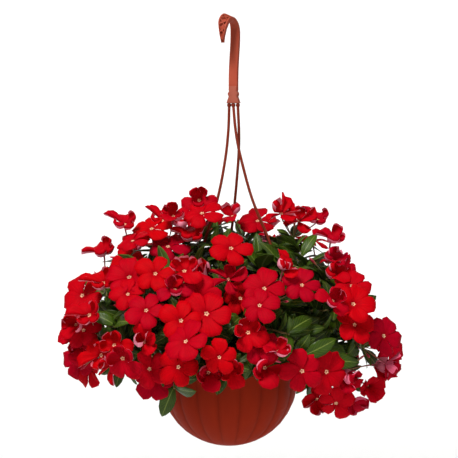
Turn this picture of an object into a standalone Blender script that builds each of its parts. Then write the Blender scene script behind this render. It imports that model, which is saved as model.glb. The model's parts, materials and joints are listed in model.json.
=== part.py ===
"""A Madagascar periwinkle in bloom, growing in a fluted plastic hanging bowl.

Frame: the origin is the centre of the bowl's flat foot, +Z is up, -Y is the side that faces the viewer.
Everything is in metres. Run with: blender --background --python part.py
"""

import itertools
import math
import random

import bmesh
import bpy
from mathutils import Matrix, Vector
from mathutils.bvhtree import BVHTree
from mathutils.geometry import interpolate_bezier

MM = 0.001
GAP = 0.0003
SEED = 11

# The bowl: part of an ellipse, turned, with a flat foot and a flat flange at the rim
BOWL_RADIUS = 0.0970
BOWL_CENTRE_Z = 0.090
BOWL_DEPTH = 0.093
BOWL_WALL = 0.0018
FLANGE_RADIUS = 0.110
FLANGE_Z = 0.112
FLANGE_THICKNESS = 0.0032
FLUTES = 20
FLUTE_DEPTH = 0.0016
TURN_STEPS = 2 * FLUTES
DRAIN_SLOTS = 6
DRAIN_SLOT_WIDTH = 0.0034
DRAIN_SLOT_LENGTH = 0.009
DRAIN_RING_RADIUS = 0.0145
SOIL_EDGE_Z = 0.104
SOIL_CROWN_Z = 0.108
SOIL_STEPS = 20

# The hanger: a hook whose foot holds three legs, which plug into the flange
HOOK_HEADING = Vector((-0.47, -0.88, 0)).normalized()
HOOK_WIDTH = 0.013
HOOK_THICKNESS = 0.0055
HOOK_ARCH_Z = 0.5790
HOOK_ARCH_RADIUS = 0.019
# The arch rolls towards the viewer: a point drops by this share of its distance across the strip
HOOK_ROLL = 0.42
HOOK_CHANNEL_WALL = 0.0018
HUB_TOP_Z = 0.503
HUB_BOTTOM_Z = 0.479
HUB_THICKNESS = 0.0078
HUB_OFFSET = -0.0134
LEG_RADIUS = 0.0020
LEG_HOLE_RADIUS = 0.0024
LEG_PLUG_LENGTH = 0.006
FLANGE_HOLE_RING = 0.1045
# Each leg: where its plug stands across the hub, the bearing of its hole in the flange, and the
# places it passes on the way, in millimetres: across, up, and how far behind the centre plane
LEGS = {
    "left": (-0.0068, 220.0, [(-1, 440, 14), (-6, 396, 9), (-17, 342, 2), (-37, 276, -20)]),
    "right": (-0.0005, 340.0, [(10, 436, 4), (18, 397, 0), (34, 341, -8), (61, 273, -17)]),
    "back": (0.0068, 100.0, [(14, 432, 14), (12, 385, 27), (3, 296, 58)]),
}
LEG_STEPS = 3

# The foliage fills a dome round the bowl; the sight point is where a viewer stands
DOME = Vector((0.235, 0.205, 0.125))
DOME_CENTRE = Vector((0, 0, 0.180))
SIGHT_POINT = Vector((0, -1.8, 0.43))
BACK_HEADS = 12
BACK_BLOOMS = 3
BACK_NARROWING = 0.83

# A bloom: five broad petals in a plate on a slender tube. The rim of each petal is three points: the
# notch before it and its two shoulders, each a turn, a reach out of the radius and a rise
BLOOM_DIAMETER = 0.055
PETALS = 5
PETAL_RIM = ((-0.63, 0.60, -0.0014), (-0.38, 0.97, 0.0009), (0.32, 0.99, -0.0005))
EYE_DEPTH = 0.0022
MOUTH_DEPTH = 0.0044
BLADE = 0.0008
TUBE_RADIUS = 0.0012
KNOB_RADIUS = 0.0034
KNOB_DEPTH = 0.040

# A leafy stem forks to two heads and carries leaves in opposite pairs, at these shares of each twig.
# A stem with a shoot carries its lower pair there.
STEM_RADIUS = 0.0024
TWIG_RADIUS = 0.0016
TWIG_POINTS = 6
SHOOT_POINTS = 4
STEM_DEPTH = 0.018
LEAF_LENGTH = 0.050
LEAF_WIDTH = 0.023
LEAF_DROOPS = (0.22, 0.31, 0.40, 0.49)
LEAF_PAIRS = ((0.90,), (0.90, 0.42))
SHOOT_PAIRS = (0.97, 0.72)
CLEARANCE = 0.0005

# The blooms on the side that shows, head by head: how far the head lies behind the bowl's centre
# plane (None follows the dome), and each bloom's place across and up, in millimetres, as seen
# from the sight point on that plane. A third number marks a half-open bloom: how far its cup closes.
HEADS = {
    "crown_left": (-30, [(-38, 327), (-42, 344), (-52, 292)]),
    "ridge_left": (-25, [(-78, 322), (-94, 316), (-109, 305), (-86, 280)]),
    "shoulder_left": (-30, [(-147, 311), (-136, 288), (-146, 257)]),
    "flank_left": (None, [(-177, 272), (-178, 228), (-208, 210)]),
    "upper_left": (None, [(-104, 241), (-63, 245), (-76, 218)]),
    "middle_left": (None, [(-143, 212), (-141, 236), (-117, 189)]),
    "centre_left": (None, [(-68, 174), (-32, 184), (-42, 208), (-62, 145)]),
    "centre": (-130, [(-1, 233), (16, 206), (3, 277), (-33, 239, 0.7)]),
    "centre_right": (None, [(50, 220), (76, 247, 0.7), (43, 196), (103, 225)]),
    "crown_back": (45, [(4, 323), (40, 316)]),
    "crown_right": (0, [(98, 315), (74, 326), (124, 317), (78, 324, 0.8)]),
    "shoulder_right": (-70, [(144, 291), (146, 260), (150, 238)]),
    "flank_right": (None, [(160, 248), (173, 224), (176, 198), (147, 202)]),
    "tip_left": (None, [(-198, 182), (-217, 168), (-206, 160)]),
    "low_left": (None, [(-215, 150), (-210, 136), (-195, 154), (-213, 118), (-199, 106)]),
    "front_left": (None, [(-163, 139), (-182, 124), (-151, 119), (-166, 110)]),
    "skirt_left": (None, [(-120, 143), (-72, 107), (-113, 104), (-106, 87)]),
    "skirt_centre": (None, [(-29, 99), (3, 105), (-14, 121)]),
    "front_right": (None, [(27, 157), (43, 138), (51, 106), (70, 131)]),
    "skirt_right": (None, [(104, 101), (139, 100), (125, 60), (152, 54)]),
    "low_right": (None, [(178, 58), (163, 94, 0.8), (208, 110, 0.9), (197, 80)]),
    "tip_right": (None, [(178, 168), (220, 152), (228, 131), (223, 112, 1.0)]),
}

# Leafy shoots without blooms: each tip's place across and up and its depth, as for the heads
SHOOTS = [
    (46, 274, -60), (80, 272, -50), (111, 284, -40), (-6, 288, -30), (-60, 285, 30), (30, 292, 60),
    (88, 50, None), (92, 170, None), (130, 140, None), (165, 128, None), (-75, 66, None), (-178, 186, None),
]


# Shapes as plain points and faces: the plan tests these for clearance, and the solids start from them


def tube_shape(path, radius, sides):
    """A closed prism along a path."""
    points, faces = [], []
    for i, p in enumerate(path):
        ahead = path[min(i + 1, len(path) - 1)] - path[max(i - 1, 0)]
        turn = ahead.to_track_quat("Z", "Y").to_matrix()
        for k in range(sides):
            a = math.tau * k / sides
            points.append(p + turn @ Vector((math.cos(a), math.sin(a), 0)) * radius)
    for i in range(len(path) - 1):
        for k in range(sides):
            a, b = i * sides + k, i * sides + (k + 1) % sides
            faces.append((a, b, b + sides, a + sides))
    faces.append(tuple(reversed(range(sides))))
    faces.append(tuple(len(points) - sides + k for k in range(sides)))
    return points, faces


def bloom_shape(bloom, extra=0.0):
    """Five petals in one thin plate or cup, narrowing behind into a three-sided tube to its knob."""
    half = BLADE / 2 + extra
    open_reach = (bloom["diameter"] / 2) * math.cos(bloom["cup"]) + extra
    cup_rise = (bloom["diameter"] / 2) * math.sin(bloom["cup"])
    rim = []
    for k in range(PETALS):
        for turn, reach, rise in PETAL_RIM:
            a = math.tau * k / PETALS + turn
            out = reach * open_reach
            rim.append(Vector((math.cos(a) * out, math.sin(a) * out, rise + reach * cup_rise)))
    n, centre = len(rim), len(rim)
    # The petals part at single points, and have a thickness at every other point of the rim
    local = [p if k % 3 == 0 else p + Vector((0, 0, half)) for k, p in enumerate(rim)]
    local.append(Vector((0, 0, half - EYE_DEPTH)))
    under = []
    for k, p in enumerate(rim):
        under.append(k if k % 3 == 0 else len(local))
        if k % 3:
            local.append(p - Vector((0, 0, half)))
    frame = bloom["frame"]
    points = [frame @ p for p in local]
    faces = [(centre, k, (k + 1) % n) for k in range(n)]
    for k in range(n):
        wall = (k, under[k], under[(k + 1) % n], (k + 1) % n)
        faces.append(tuple(dict.fromkeys(wall)))
    start = frame @ Vector((0, 0, -MOUTH_DEPTH - extra))
    ring = len(points)
    turn = frame.to_3x3()
    swing = (turn @ Vector((0, 0, -1))).rotation_difference(bloom["root"] - start).to_matrix()
    rays = []
    for k in range(3):
        a = math.tau * k / 3 + math.pi / 5
        rays.append(turn @ Vector((math.cos(a), math.sin(a), 0)) * (TUBE_RADIUS + extra))
    points += [start + ray for ray in rays] + [bloom["root"] + swing @ ray for ray in rays]
    for k in range(3):
        a, b = ring + k, ring + (k + 1) % 3
        first = k * n // 3
        for i in range(first, first + n // 3):
            faces.append((under[i % n], a, under[(i + 1) % n]))
        faces.append((under[(first + n // 3) % n], a, b))
    for k in range(3):
        a, b = ring + k, ring + (k + 1) % 3
        faces.append((a, a + 3, b + 3, b))
    faces.append((ring + 3, ring + 5, ring + 4))
    return points, faces


def leaf_shape(leaf, extra=0.0):
    """A pointed oval blade, arched along its length, the same above and below."""
    length = leaf["length"] + extra
    half = BLADE / 2 + extra
    edge = ((0.0, 0.0), (0.34, -0.94), (0.70, -0.78), (1.0, 0.0), (0.70, 0.78), (0.34, 0.94))
    local = []
    for s, w in edge:
        rise = length * (0.20 * s - leaf["droop"] * s * s)
        local.append(Vector((s * length, w * (leaf["width"] / 2 + extra), rise)))
    tip, n = 3, len(local)
    points = [p if k == tip else p + Vector((0, 0, half)) for k, p in enumerate(local)]
    under = [k if k == tip else n + k - (k > tip) for k in range(n)]
    points += [p - Vector((0, 0, half)) for k, p in enumerate(local) if k != tip]
    faces = [(0, 1, 5), (1, 2, 4, 5), (2, 3, 4)]
    faces += [tuple(under[i] for i in reversed(f)) for f in faces]
    for k in range(n):
        wall = (k, under[k], under[(k + 1) % n], (k + 1) % n)
        faces.append(tuple(dict.fromkeys(wall)))
    return [leaf["frame"] @ p for p in points], faces


def outer_shape(extra):
    """The bowl's flange and outer wall as bands of faces."""
    low, high = FLANGE_Z - extra, FLANGE_Z + FLANGE_THICKNESS + extra
    section = [(BOWL_RADIUS - BOWL_WALL, high), (FLANGE_RADIUS + extra, high), (FLANGE_RADIUS + extra, low)]
    section += [(bowl_radius(z) + extra, z) for z in (0.110, 0.085, 0.060, 0.035, 0.010)]
    points, faces = [], []
    n = len(section)
    for k in range(FLUTES):
        a = math.tau * k / FLUTES
        points += [Vector((math.cos(a) * r, math.sin(a) * r, z)) for r, z in section]
        near, far = n * k, n * ((k + 1) % FLUTES)
        faces += [(near + j, near + j + 1, far + j + 1, far + j) for j in range(n - 1)]
    return points, faces


# The plan: where every stem, bloom and leaf goes


class Space:
    """What already stands in the way, as boxes and trees of faces."""

    def __init__(self):
        self.held = []

    def entry(self, shape, owner):
        points, faces = shape
        low = Vector(map(min, zip(*points)))
        high = Vector(map(max, zip(*points)))
        return low, high, BVHTree.FromPolygons(points, faces), owner

    def add(self, shape, owner):
        self.held.append(self.entry(shape, owner))

    def clear(self, shape, friends=(), kin=None):
        """True if the shape crosses nothing but its friends. Kin may meet the shape's last four faces."""
        low, high, tree, _ = self.entry(shape, None)
        tail = len(shape[1]) - 4
        for other_low, other_high, other, owner in self.held:
            if owner in friends:
                continue
            if any(low[i] > other_high[i] or other_low[i] > high[i] for i in range(3)):
                continue
            if any(owner != kin or min(hit) < tail for hit in tree.overlap(other)):
                return False
        return True


def bowl_radius(z):
    """The bowl's outer radius at a height."""
    share = (BOWL_CENTRE_Z - min(z, BOWL_CENTRE_Z)) / BOWL_DEPTH
    flare = 0.0015 * max(0.0, z - BOWL_CENTRE_Z) / (FLANGE_Z - BOWL_CENTRE_Z)
    return BOWL_RADIUS * math.sqrt(1 - share * share) + flare


def smooth_path(points, steps):
    """A smooth path through all but the first and last of the points, which only steer its ends."""
    path = []
    for a, b, c, d in zip(points, points[1:], points[2:], points[3:]):
        reach = (c - b).length
        lead = (c - a) * reach / ((b - a).length + reach)
        trail = (d - b) * reach / ((d - c).length + reach)
        path += interpolate_bezier(b, b + lead / 2.6, c - trail / 2.6, c, steps + 1)[:-1]
    return path + [points[-2]]


def hub_point(across, z):
    side = HOOK_HEADING.cross(Vector((0, 0, 1)))
    if side.x < 0:
        side = -side
    return HOOK_HEADING * HUB_OFFSET + side * across + Vector((0, 0, z))


def leg_path(name):
    """Down out of the hub, swinging out, and straight down through the flange."""
    across, bearing, passes = LEGS[name]
    top = hub_point(across, HUB_BOTTOM_Z)
    angle = math.radians(bearing)
    foot = Vector((math.cos(angle), math.sin(angle), 0)) * FLANGE_HOLE_RING
    landing = foot + Vector((0, 0, FLANGE_Z + 0.012))
    through = [on_sight_line(x * MM, z * MM, y * MM) for x, z, y in passes]
    plug = top + Vector((0, 0, LEG_PLUG_LENGTH - 0.0004))
    end = foot + Vector((0, 0, FLANGE_Z - 0.004))
    return [plug, *smooth_path([plug, top, *through, landing, end], LEG_STEPS), end]


def on_sight_line(x, z, depth):
    """The point behind (x, z) of the centre plane, as far back as depth says."""
    aim = Vector((x, 0, z))
    ray = aim - SIGHT_POINT
    return aim + ray * (depth / ray.y)


def dome_depth(x, z):
    """How far in front of the centre plane the sight line through (x, z) meets the dome."""
    aim = Vector((x, 0, z))
    ray = (aim - SIGHT_POINT).normalized()
    start = Vector([(SIGHT_POINT - DOME_CENTRE)[i] / DOME[i] for i in range(3)])
    step = Vector([ray[i] / DOME[i] for i in range(3)])
    a, b, c = step.dot(step), start.dot(step), start.dot(start) - 1
    within = max(0.0, b * b - a * c)
    return SIGHT_POINT.y + ray.y * (-b - math.sqrt(within)) / a


def outward(p):
    """The dome's outward direction at a point, leaning up."""
    d = p - DOME_CENTRE + Vector((0, 0, 0.03))
    n = Vector([d[i] / DOME[i] ** 2 for i in range(3)]).normalized()
    return (n + Vector((0, 0, 0.22))).normalized()


def back_heads(rng):
    """The heads on the far side, spread by the golden angle over the dome, which is narrower there."""
    made = {}
    for i in range(BACK_HEADS):
        bearing = math.radians(-8 + 196 * ((0.11 + i * 0.618) % 1.0) + rng.uniform(-4, 4))
        climb = math.radians(-26 + 98 * (i + 0.5) / BACK_HEADS)
        flat = math.cos(climb)
        heading = Vector((math.cos(bearing) * flat, math.sin(bearing) * flat, math.sin(climb)))
        reach = Vector((DOME.x * BACK_NARROWING, DOME.y, DOME.z))
        centre = DOME_CENTRE + Vector([heading[k] * reach[k] for k in range(3)])
        side = heading.cross(Vector((0, 0, 1))).normalized()
        rise = side.cross(heading)
        spots = []
        for k in range(BACK_BLOOMS):
            a = math.tau * k / BACK_BLOOMS + i
            spots.append(centre + (side * math.cos(a) + rise * math.sin(a)) * 0.031)
        made[f"back_{i + 1}"] = spots
    return made


def spot_at(x, z, depth):
    """A place given in millimetres as seen from the sight point, on the dome if it has no depth."""
    y = dome_depth(x * MM, z * MM) if depth is None else depth * MM
    return on_sight_line(x * MM, z * MM, y)


def head_spots(rng):
    """Every head's bloom places in space, and how far each bloom's cup closes."""
    spots, cups = {}, {}
    for name, (depth, blooms) in HEADS.items():
        spots[name] = [spot_at(x, z, depth) for x, z, *_ in blooms]
        cups[name] = [cup[0] if cup else 0.0 for _, _, *cup in blooms]
    far = back_heads(rng)
    spots.update(far)
    cups.update({name: [0.0] * len(places) for name, places in far.items()})
    return spots, cups


def facing_of(name, spot):
    """Which way a bloom looks: out of the dome, and on the near side towards the viewer too."""
    lean = Vector((0, 0, 0)) if name.startswith("back_") else (SIGHT_POINT - spot).normalized() * 0.75
    return (outward(spot) + lean).normalized()


def frame_at(place, facing, roll):
    turn = facing.to_track_quat("Z", "Y").to_matrix().to_4x4()
    return Matrix.Translation(place) @ turn @ Matrix.Rotation(roll, 4, "Z")


def near_pairs(knobs):
    """Heads in pairs: two pairs trade partners for as long as that brings them closer."""
    order = sorted(knobs, key=lambda n: math.atan2(knobs[n][0].y, knobs[n][0].x))
    pairs = [order[i : i + 2] for i in range(0, len(order), 2)]

    def spread(a, b):
        return (knobs[a][0] - knobs[b][0]).length

    traded = True
    while traded:
        traded = False
        for one, two in itertools.combinations(pairs, 2):
            (a, b), (c, d) = one, two
            now = spread(a, b) + spread(c, d) - 1e-6
            if spread(a, c) + spread(b, d) < now:
                one[:], two[:] = (a, c), (b, d)
                traded = True
            elif spread(a, d) + spread(b, c) < now:
                one[:], two[:] = (a, d), (b, c)
                traded = True
    return pairs


def jitter(rng, reach):
    return Vector([rng.uniform(-reach, reach) for _ in range(3)])


def plan_stems(rng, space, spots):
    """Pairs the heads and runs a forked stem from the soil to each pair."""
    knobs = {}
    for name, places in spots.items():
        middle = sum(places, Vector()) / len(places)
        out = sum((facing_of(name, p) for p in places), Vector()).normalized()
        knobs[name] = (middle - out * KNOB_DEPTH, out)
    stems = []
    for i, pair in enumerate(near_pairs(knobs)):
        owner = f"stem_{i + 1:02d}"
        middle = sum((knobs[n][0] for n in pair), Vector()) / len(pair)
        for attempt in range(60):
            loose = 0.002 + 0.0012 * attempt
            heading = Vector((middle.x, middle.y, 0)) + jitter(rng, loose)
            heading = Vector((heading.x, heading.y, 0)).normalized()
            spread = min(1.0, max(0.0, (0.26 - middle.z) / 0.15))
            foot = heading * (0.030 + 0.042 * spread + 0.014 * (i % 2))
            base = foot + Vector((0, 0, SOIL_EDGE_Z - STEM_DEPTH))
            fork_z = max(0.150, SOIL_EDGE_Z + 0.35 * (middle.z - SOIL_EDGE_Z))
            fork = foot * 1.15 + Vector((0, 0, fork_z)) + jitter(rng, loose)
            trunk = [base, foot + Vector((0, 0, SOIL_CROWN_Z + 0.008)), fork]
            twigs = []
            for n in pair:
                knob, out = knobs[n]
                tip = knob - out * (KNOB_RADIUS + 2 * GAP)
                lift = Vector((0, 0, 0.030 if knob.z < 0.17 else 0.012))
                rise = fork + Vector((0, 0, 0.045)) + heading * 0.012 + jitter(rng, loose)
                lead = tip - out * 0.030 + lift + jitter(rng, loose)
                twigs.append(interpolate_bezier(fork, rise, lead, tip, TWIG_POINTS))
            shapes = [tube_shape(trunk, STEM_RADIUS + CLEARANCE, 6)]
            shapes += [tube_shape(twig, TWIG_RADIUS + CLEARANCE, 6) for twig in twigs]
            if all(space.clear(s) for s in shapes) and all(clear_of_bowl(p, 0.003) for t in twigs for p in t):
                break
        for s in shapes:
            space.add(s, owner)
        for n in pair:
            knob, out = knobs[n]
            space.add(tube_shape([knob - out * 0.003, knob + out * 0.003], KNOB_RADIUS + 0.0002, 6), n)
        stems.append({"name": owner, "trunk": trunk, "twigs": twigs, "shoots": [], "heads": pair})
    return stems, knobs


def plan_shoots(rng, space, stems):
    """Runs each leafy shoot from the fork of the nearest stem that has none yet."""
    for x, z, depth in SHOOTS:
        tip = spot_at(x, z, depth)
        tip -= outward(tip) * 0.030
        free = [s for s in stems if not s["shoots"]]
        stem = min(free, key=lambda s: (s["trunk"][-1] - tip).length)
        fork = stem["trunk"][-1]
        for attempt in range(60):
            loose = 0.003 + 0.0012 * attempt
            rise = fork + Vector((0, 0, 0.040)) + jitter(rng, loose)
            end = tip + jitter(rng, loose)
            lead = end.lerp(fork, 0.3) + Vector((0, 0, 0.020)) + jitter(rng, loose)
            shoot = interpolate_bezier(fork, rise, lead, end, SHOOT_POINTS)
            shape = tube_shape(shoot, TWIG_RADIUS + CLEARANCE, 6)
            if space.clear(shape, (stem["name"],)) and all(clear_of_bowl(p, 0.003) for p in shoot):
                space.add(shape, stem["name"])
                stem["shoots"].append(shoot)
                break


def clear_of_bowl(p, room=0.0015):
    """Outside the bowl and its flange, or above its soil."""
    across = math.hypot(p.x, p.y)
    if p.z > FLANGE_Z + FLANGE_THICKNESS + room:
        return True
    if p.z > FLANGE_Z - room:
        return across > FLANGE_RADIUS + room
    return across > bowl_radius(max(p.z, 0.0)) + room


def plan_blooms(rng, space, spots, cups, knobs):
    """Slides, turns and, last, shrinks each bloom until it crosses nothing."""
    heads = {}
    for name, places in spots.items():
        knob, out = knobs[name]
        heads[name] = {"knob": knob, "out": out, "blooms": []}
        mates = f"{name}.bloom"
        for place, cup in zip(places, cups[name]):
            sight = (place - SIGHT_POINT).normalized()
            for attempt in range(320):
                loose = min(1.0, 0.2 + attempt / 100)
                centre = place + sight * rng.uniform(-1, 1) * 0.030 * loose
                facing = (facing_of(name, place) + jitter(rng, 0.42 * loose)).normalized()
                shrink = 1.0 - 0.30 * max(0.0, (attempt - 120) / 140)
                bloom = {
                    "frame": frame_at(centre, facing, rng.uniform(0, math.tau / PETALS)),
                    "diameter": BLOOM_DIAMETER * rng.uniform(0.95, 1.09) * shrink * (1 - cup / 6),
                    "cup": cup,
                    "root": knob,
                }
                shape = bloom_shape(bloom, CLEARANCE)
                # Late in the search a bloom may cross the others of its own head
                friends = (name, mates) if attempt > 160 else (name,)
                if all(clear_of_bowl(p) for p in shape[0]) and space.clear(shape, friends, mates):
                    space.add(shape, mates)
                    heads[name]["blooms"].append(bloom)
                    break
    return heads


def plan_leaves(rng, space, stems):
    """Opposite pairs along the twigs, each leaf swung until it is clear of all but its own stem."""
    for stem in stems:
        stem["leaves"] = []
        carriers = list(zip(stem["twigs"], LEAF_PAIRS))
        if stem["shoots"]:
            carriers = [(twig, LEAF_PAIRS[0]) for twig in stem["twigs"]] + [(stem["shoots"][0], SHOOT_PAIRS)]
        for twig, shares in carriers:
            for pair, share in enumerate(shares):
                at = share * (len(twig) - 1)
                i = min(int(at), len(twig) - 2)
                root = twig[i].lerp(twig[i + 1], at - i)
                along = (twig[i + 1] - twig[i]).normalized()
                side = along.cross(outward(root)).normalized()
                mates = f"{stem['name']}.{pair}.{i}"
                for sign in (1, -1):
                    for attempt in range(36):
                        loose = 0.15 + attempt / 30
                        swing = pair * 1.2 + rng.uniform(-1, 1) * loose * 1.6
                        across = Matrix.Rotation(swing, 3, along) @ side * sign
                        axis = (across + along * rng.uniform(0.35, 1.1)).normalized()
                        up = outward(root) + jitter(rng, 0.5 * loose)
                        up = (up - axis * up.dot(axis)).normalized()
                        frame = Matrix((axis, up.cross(axis), up)).transposed().to_4x4()
                        grow = rng.uniform(0.85, 1.15) * (1.0 - 0.3 * attempt / 36)
                        leaf = {
                            "frame": Matrix.Translation(root) @ frame,
                            "length": LEAF_LENGTH * grow,
                            "width": LEAF_WIDTH * grow,
                            "droop": rng.choice(LEAF_DROOPS),
                        }
                        shape = leaf_shape(leaf, CLEARANCE)
                        held_off = all(clear_of_bowl(p) for p in shape[0])
                        if held_off and space.clear(shape, (stem["name"], mates)):
                            space.add(shape, mates)
                            stem["leaves"].append(leaf)
                            break


def grow():
    """The whole plan, the same each run."""
    rng = random.Random(SEED)
    space = Space()
    for name in LEGS:
        space.add(tube_shape(leg_path(name), LEG_RADIUS + CLEARANCE, 8), "hanger")
    space.add(outer_shape(CLEARANCE), "bowl")
    spots, cups = head_spots(rng)
    stems, knobs = plan_stems(rng, space, spots)
    plan_shoots(rng, space, stems)
    heads = plan_blooms(rng, space, spots, cups, knobs)
    plan_leaves(rng, space, stems)
    return stems, heads


# Building


def clear_scene():
    for obj in list(bpy.data.objects):
        bpy.data.objects.remove(obj)


def new_collection(name):
    made = bpy.data.collections.new(name)
    bpy.context.scene.collection.children.link(made)
    return made


def plain_material(name, colour, roughness):
    made = bpy.data.materials.new(name)
    made.use_nodes = True
    shader = made.node_tree.nodes["Principled BSDF"]
    shader.inputs["Base Color"].default_value = (*colour, 1)
    shader.inputs["Roughness"].default_value = roughness
    shader.inputs["Metallic"].default_value = 0
    return made


def link(obj, collection, material=None):
    collection.objects.link(obj)
    if material:
        obj.data.materials.clear()
        obj.data.materials.append(material)
    return obj


def mesh_object(name, shape, collection, material=None):
    mesh = bpy.data.meshes.new(name)
    mesh.from_pydata(shape[0], [], shape[1])
    work = bmesh.new()
    work.from_mesh(mesh)
    bmesh.ops.recalc_face_normals(work, faces=work.faces)
    work.to_mesh(mesh)
    work.free()
    return link(bpy.data.objects.new(name, mesh), collection, material)


def as_mesh(obj, collection, material=None):
    """The object as evaluated, as a plain mesh with its doubles merged; the object is removed."""
    bpy.context.view_layer.update()
    graph = bpy.context.evaluated_depsgraph_get()
    mesh = bpy.data.meshes.new_from_object(obj.evaluated_get(graph))
    work = bmesh.new()
    work.from_mesh(mesh)
    bmesh.ops.remove_doubles(work, verts=work.verts, dist=1e-6)
    bmesh.ops.recalc_face_normals(work, faces=work.faces)
    work.to_mesh(mesh)
    work.free()
    name, place = obj.name, obj.matrix_world.copy()
    bpy.data.objects.remove(obj)
    made = bpy.data.objects.new(name, mesh)
    made.matrix_world = place
    return link(made, collection, material)


def rod(name, path, radius, collection, resolution=1, taper=None):
    """A round rod along a path of points."""
    curve = bpy.data.curves.new(name, "CURVE")
    curve.dimensions = "3D"
    curve.bevel_depth = radius
    curve.bevel_resolution = resolution
    curve.use_fill_caps = True
    line = curve.splines.new("POLY")
    line.points.add(len(path) - 1)
    for i, p in enumerate(path):
        line.points[i].co = (*p, 1)
        line.points[i].radius = 1 if taper is None else 1 + (taper - 1) * i / (len(path) - 1)
    return as_mesh(link(bpy.data.objects.new(name, curve), collection), collection)


def turned(name, profile, steps, collection):
    """A profile of (radius, height) points turned about Z."""
    mesh = bpy.data.meshes.new(name)
    points = [(r, 0, z) for r, z in profile]
    mesh.from_pydata(points, [(i, i + 1) for i in range(len(points) - 1)], [])
    obj = link(bpy.data.objects.new(name, mesh), collection)
    screw = obj.modifiers.new("Turn", "SCREW")
    screw.steps = screw.render_steps = steps
    screw.use_merge_vertices = True
    screw.merge_threshold = 1e-5
    return as_mesh(obj, collection)


def flat_piece(name, outline, width, collection):
    """A flat outline given thickness, as a mesh in its own XY plane, centred on Z."""
    curve = bpy.data.curves.new(name, "CURVE")
    curve.dimensions = "2D"
    curve.fill_mode = "BOTH"
    curve.extrude = width / 2
    line = curve.splines.new("POLY")
    line.use_cyclic_u = True
    line.points.add(len(outline) - 1)
    for i, (x, y) in enumerate(outline):
        line.points[i].co = (x, y, 0, 1)
    return as_mesh(link(bpy.data.objects.new(name, curve), collection), collection)


def boolean(obj, operation, others, collection, material=None, solver="EXACT"):
    """Joins or cuts with every object of a collection, applies it, and removes them."""
    modifier = obj.modifiers.new(operation.title(), "BOOLEAN")
    modifier.operation = operation
    modifier.solver = solver
    modifier.operand_type = "COLLECTION"
    modifier.collection = others
    made = as_mesh(obj, collection, material)
    for other in list(others.objects):
        bpy.data.objects.remove(other)
    bpy.data.collections.remove(others)
    return made


def flute(theta):
    """0 in a groove and 1 on the crest of each of the bowl's flutes."""
    from_groove = theta + math.pi / 2 + math.pi / FLUTES
    return abs(math.sin(from_groove * FLUTES / 2))


def build_bowl(parts, material):
    heights = (0.0, 0.004, 0.013, 0.031, 0.060, FLANGE_Z - 0.003)
    inner = [(bowl_radius(z) - BOWL_WALL, max(z, 0.0022)) for z in heights if z != 0.004]
    top = FLANGE_Z + FLANGE_THICKNESS
    profile = [(0, 0.0022), *inner, (bowl_radius(FLANGE_Z) - BOWL_WALL, top)]
    profile += [(FLANGE_RADIUS - 0.0008, top), (FLANGE_RADIUS, top - 0.0008), (FLANGE_RADIUS, FLANGE_Z)]
    profile += [(bowl_radius(FLANGE_Z), FLANGE_Z), *[(bowl_radius(z), z) for z in reversed(heights)], (0, 0)]
    bowl = turned("bowl", profile, TURN_STEPS, parts)
    for v in bowl.data.vertices:
        across = math.hypot(v.co.x, v.co.y)
        if across > bowl_radius(v.co.z) - 0.0004 and 0.002 < v.co.z < FLANGE_Z - 0.002:
            fade = min(1.0, v.co.z / 0.012)
            turn = math.atan2(v.co.y, v.co.x)
            depth = FLUTE_DEPTH * fade * (1 - flute(turn))
            v.co.x -= math.cos(turn) * depth
            v.co.y -= math.sin(turn) * depth
    cutters = new_collection("bowl cutters")
    for _, bearing, _ in LEGS.values():
        a = math.radians(bearing)
        at = (math.cos(a) * FLANGE_HOLE_RING, math.sin(a) * FLANGE_HOLE_RING, FLANGE_Z)
        bpy.ops.mesh.primitive_cylinder_add(vertices=8, radius=LEG_HOLE_RADIUS + GAP, depth=0.02, location=at)
        move_to(bpy.context.object, cutters)
    for k in range(DRAIN_SLOTS):
        a = math.tau * (k + 0.5) / DRAIN_SLOTS
        at = (math.cos(a) * DRAIN_RING_RADIUS, math.sin(a) * DRAIN_RING_RADIUS, 0)
        bpy.ops.mesh.primitive_cube_add(size=1, location=at, rotation=(0, 0, a))
        slot = bpy.context.object
        slot.scale = (DRAIN_SLOT_LENGTH, DRAIN_SLOT_WIDTH, 0.012)
        move_to(slot, cutters)
    return boolean(bowl, "DIFFERENCE", cutters, parts, material)


def move_to(obj, collection):
    for held in list(obj.users_collection):
        held.objects.unlink(obj)
    collection.objects.link(obj)


def build_soil(parts, material, stems):
    heights = (0.003, 0.013, 0.031, 0.060, SOIL_EDGE_Z)
    inset = BOWL_WALL + GAP + 0.0003
    wall = [(bowl_radius(z) - inset, max(z, 0.003)) for z in heights]
    wall[0] = (bowl_radius(0.0) - inset, 0.0026)
    profile = [(0, SOIL_CROWN_Z), (0.055, SOIL_CROWN_Z - 0.0005), *reversed(wall), (0, 0.0026)]
    soil = turned("soil", profile, SOIL_STEPS, parts)
    cutters = new_collection("soil cutters")
    for stem in stems:
        at = stem["trunk"][0] + Vector((0, 0, 0.02 - GAP))
        bpy.ops.mesh.primitive_cylinder_add(vertices=6, radius=STEM_RADIUS + 0.0007, depth=0.04, location=at)
        move_to(bpy.context.object, cutters)
    return boolean(soil, "DIFFERENCE", cutters, parts, material)


def hook_line():
    """The hook's middle line in its own plane: across towards the tip, and up."""
    stem = [(HUB_OFFSET, HUB_TOP_Z - 0.006), (HUB_OFFSET - 0.0004, 0.520), (-0.0160, 0.544), (-0.0185, 0.564)]
    steps = 12
    turns = [math.pi * (1 - k / steps) for k in range(steps + 1)]
    arch = [(math.cos(a) * HOOK_ARCH_RADIUS, HOOK_ARCH_Z + math.sin(a) * HOOK_ARCH_RADIUS) for a in turns]
    return [*stem, *arch, (0.0192, 0.571), (0.0178, 0.5615)]


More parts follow.
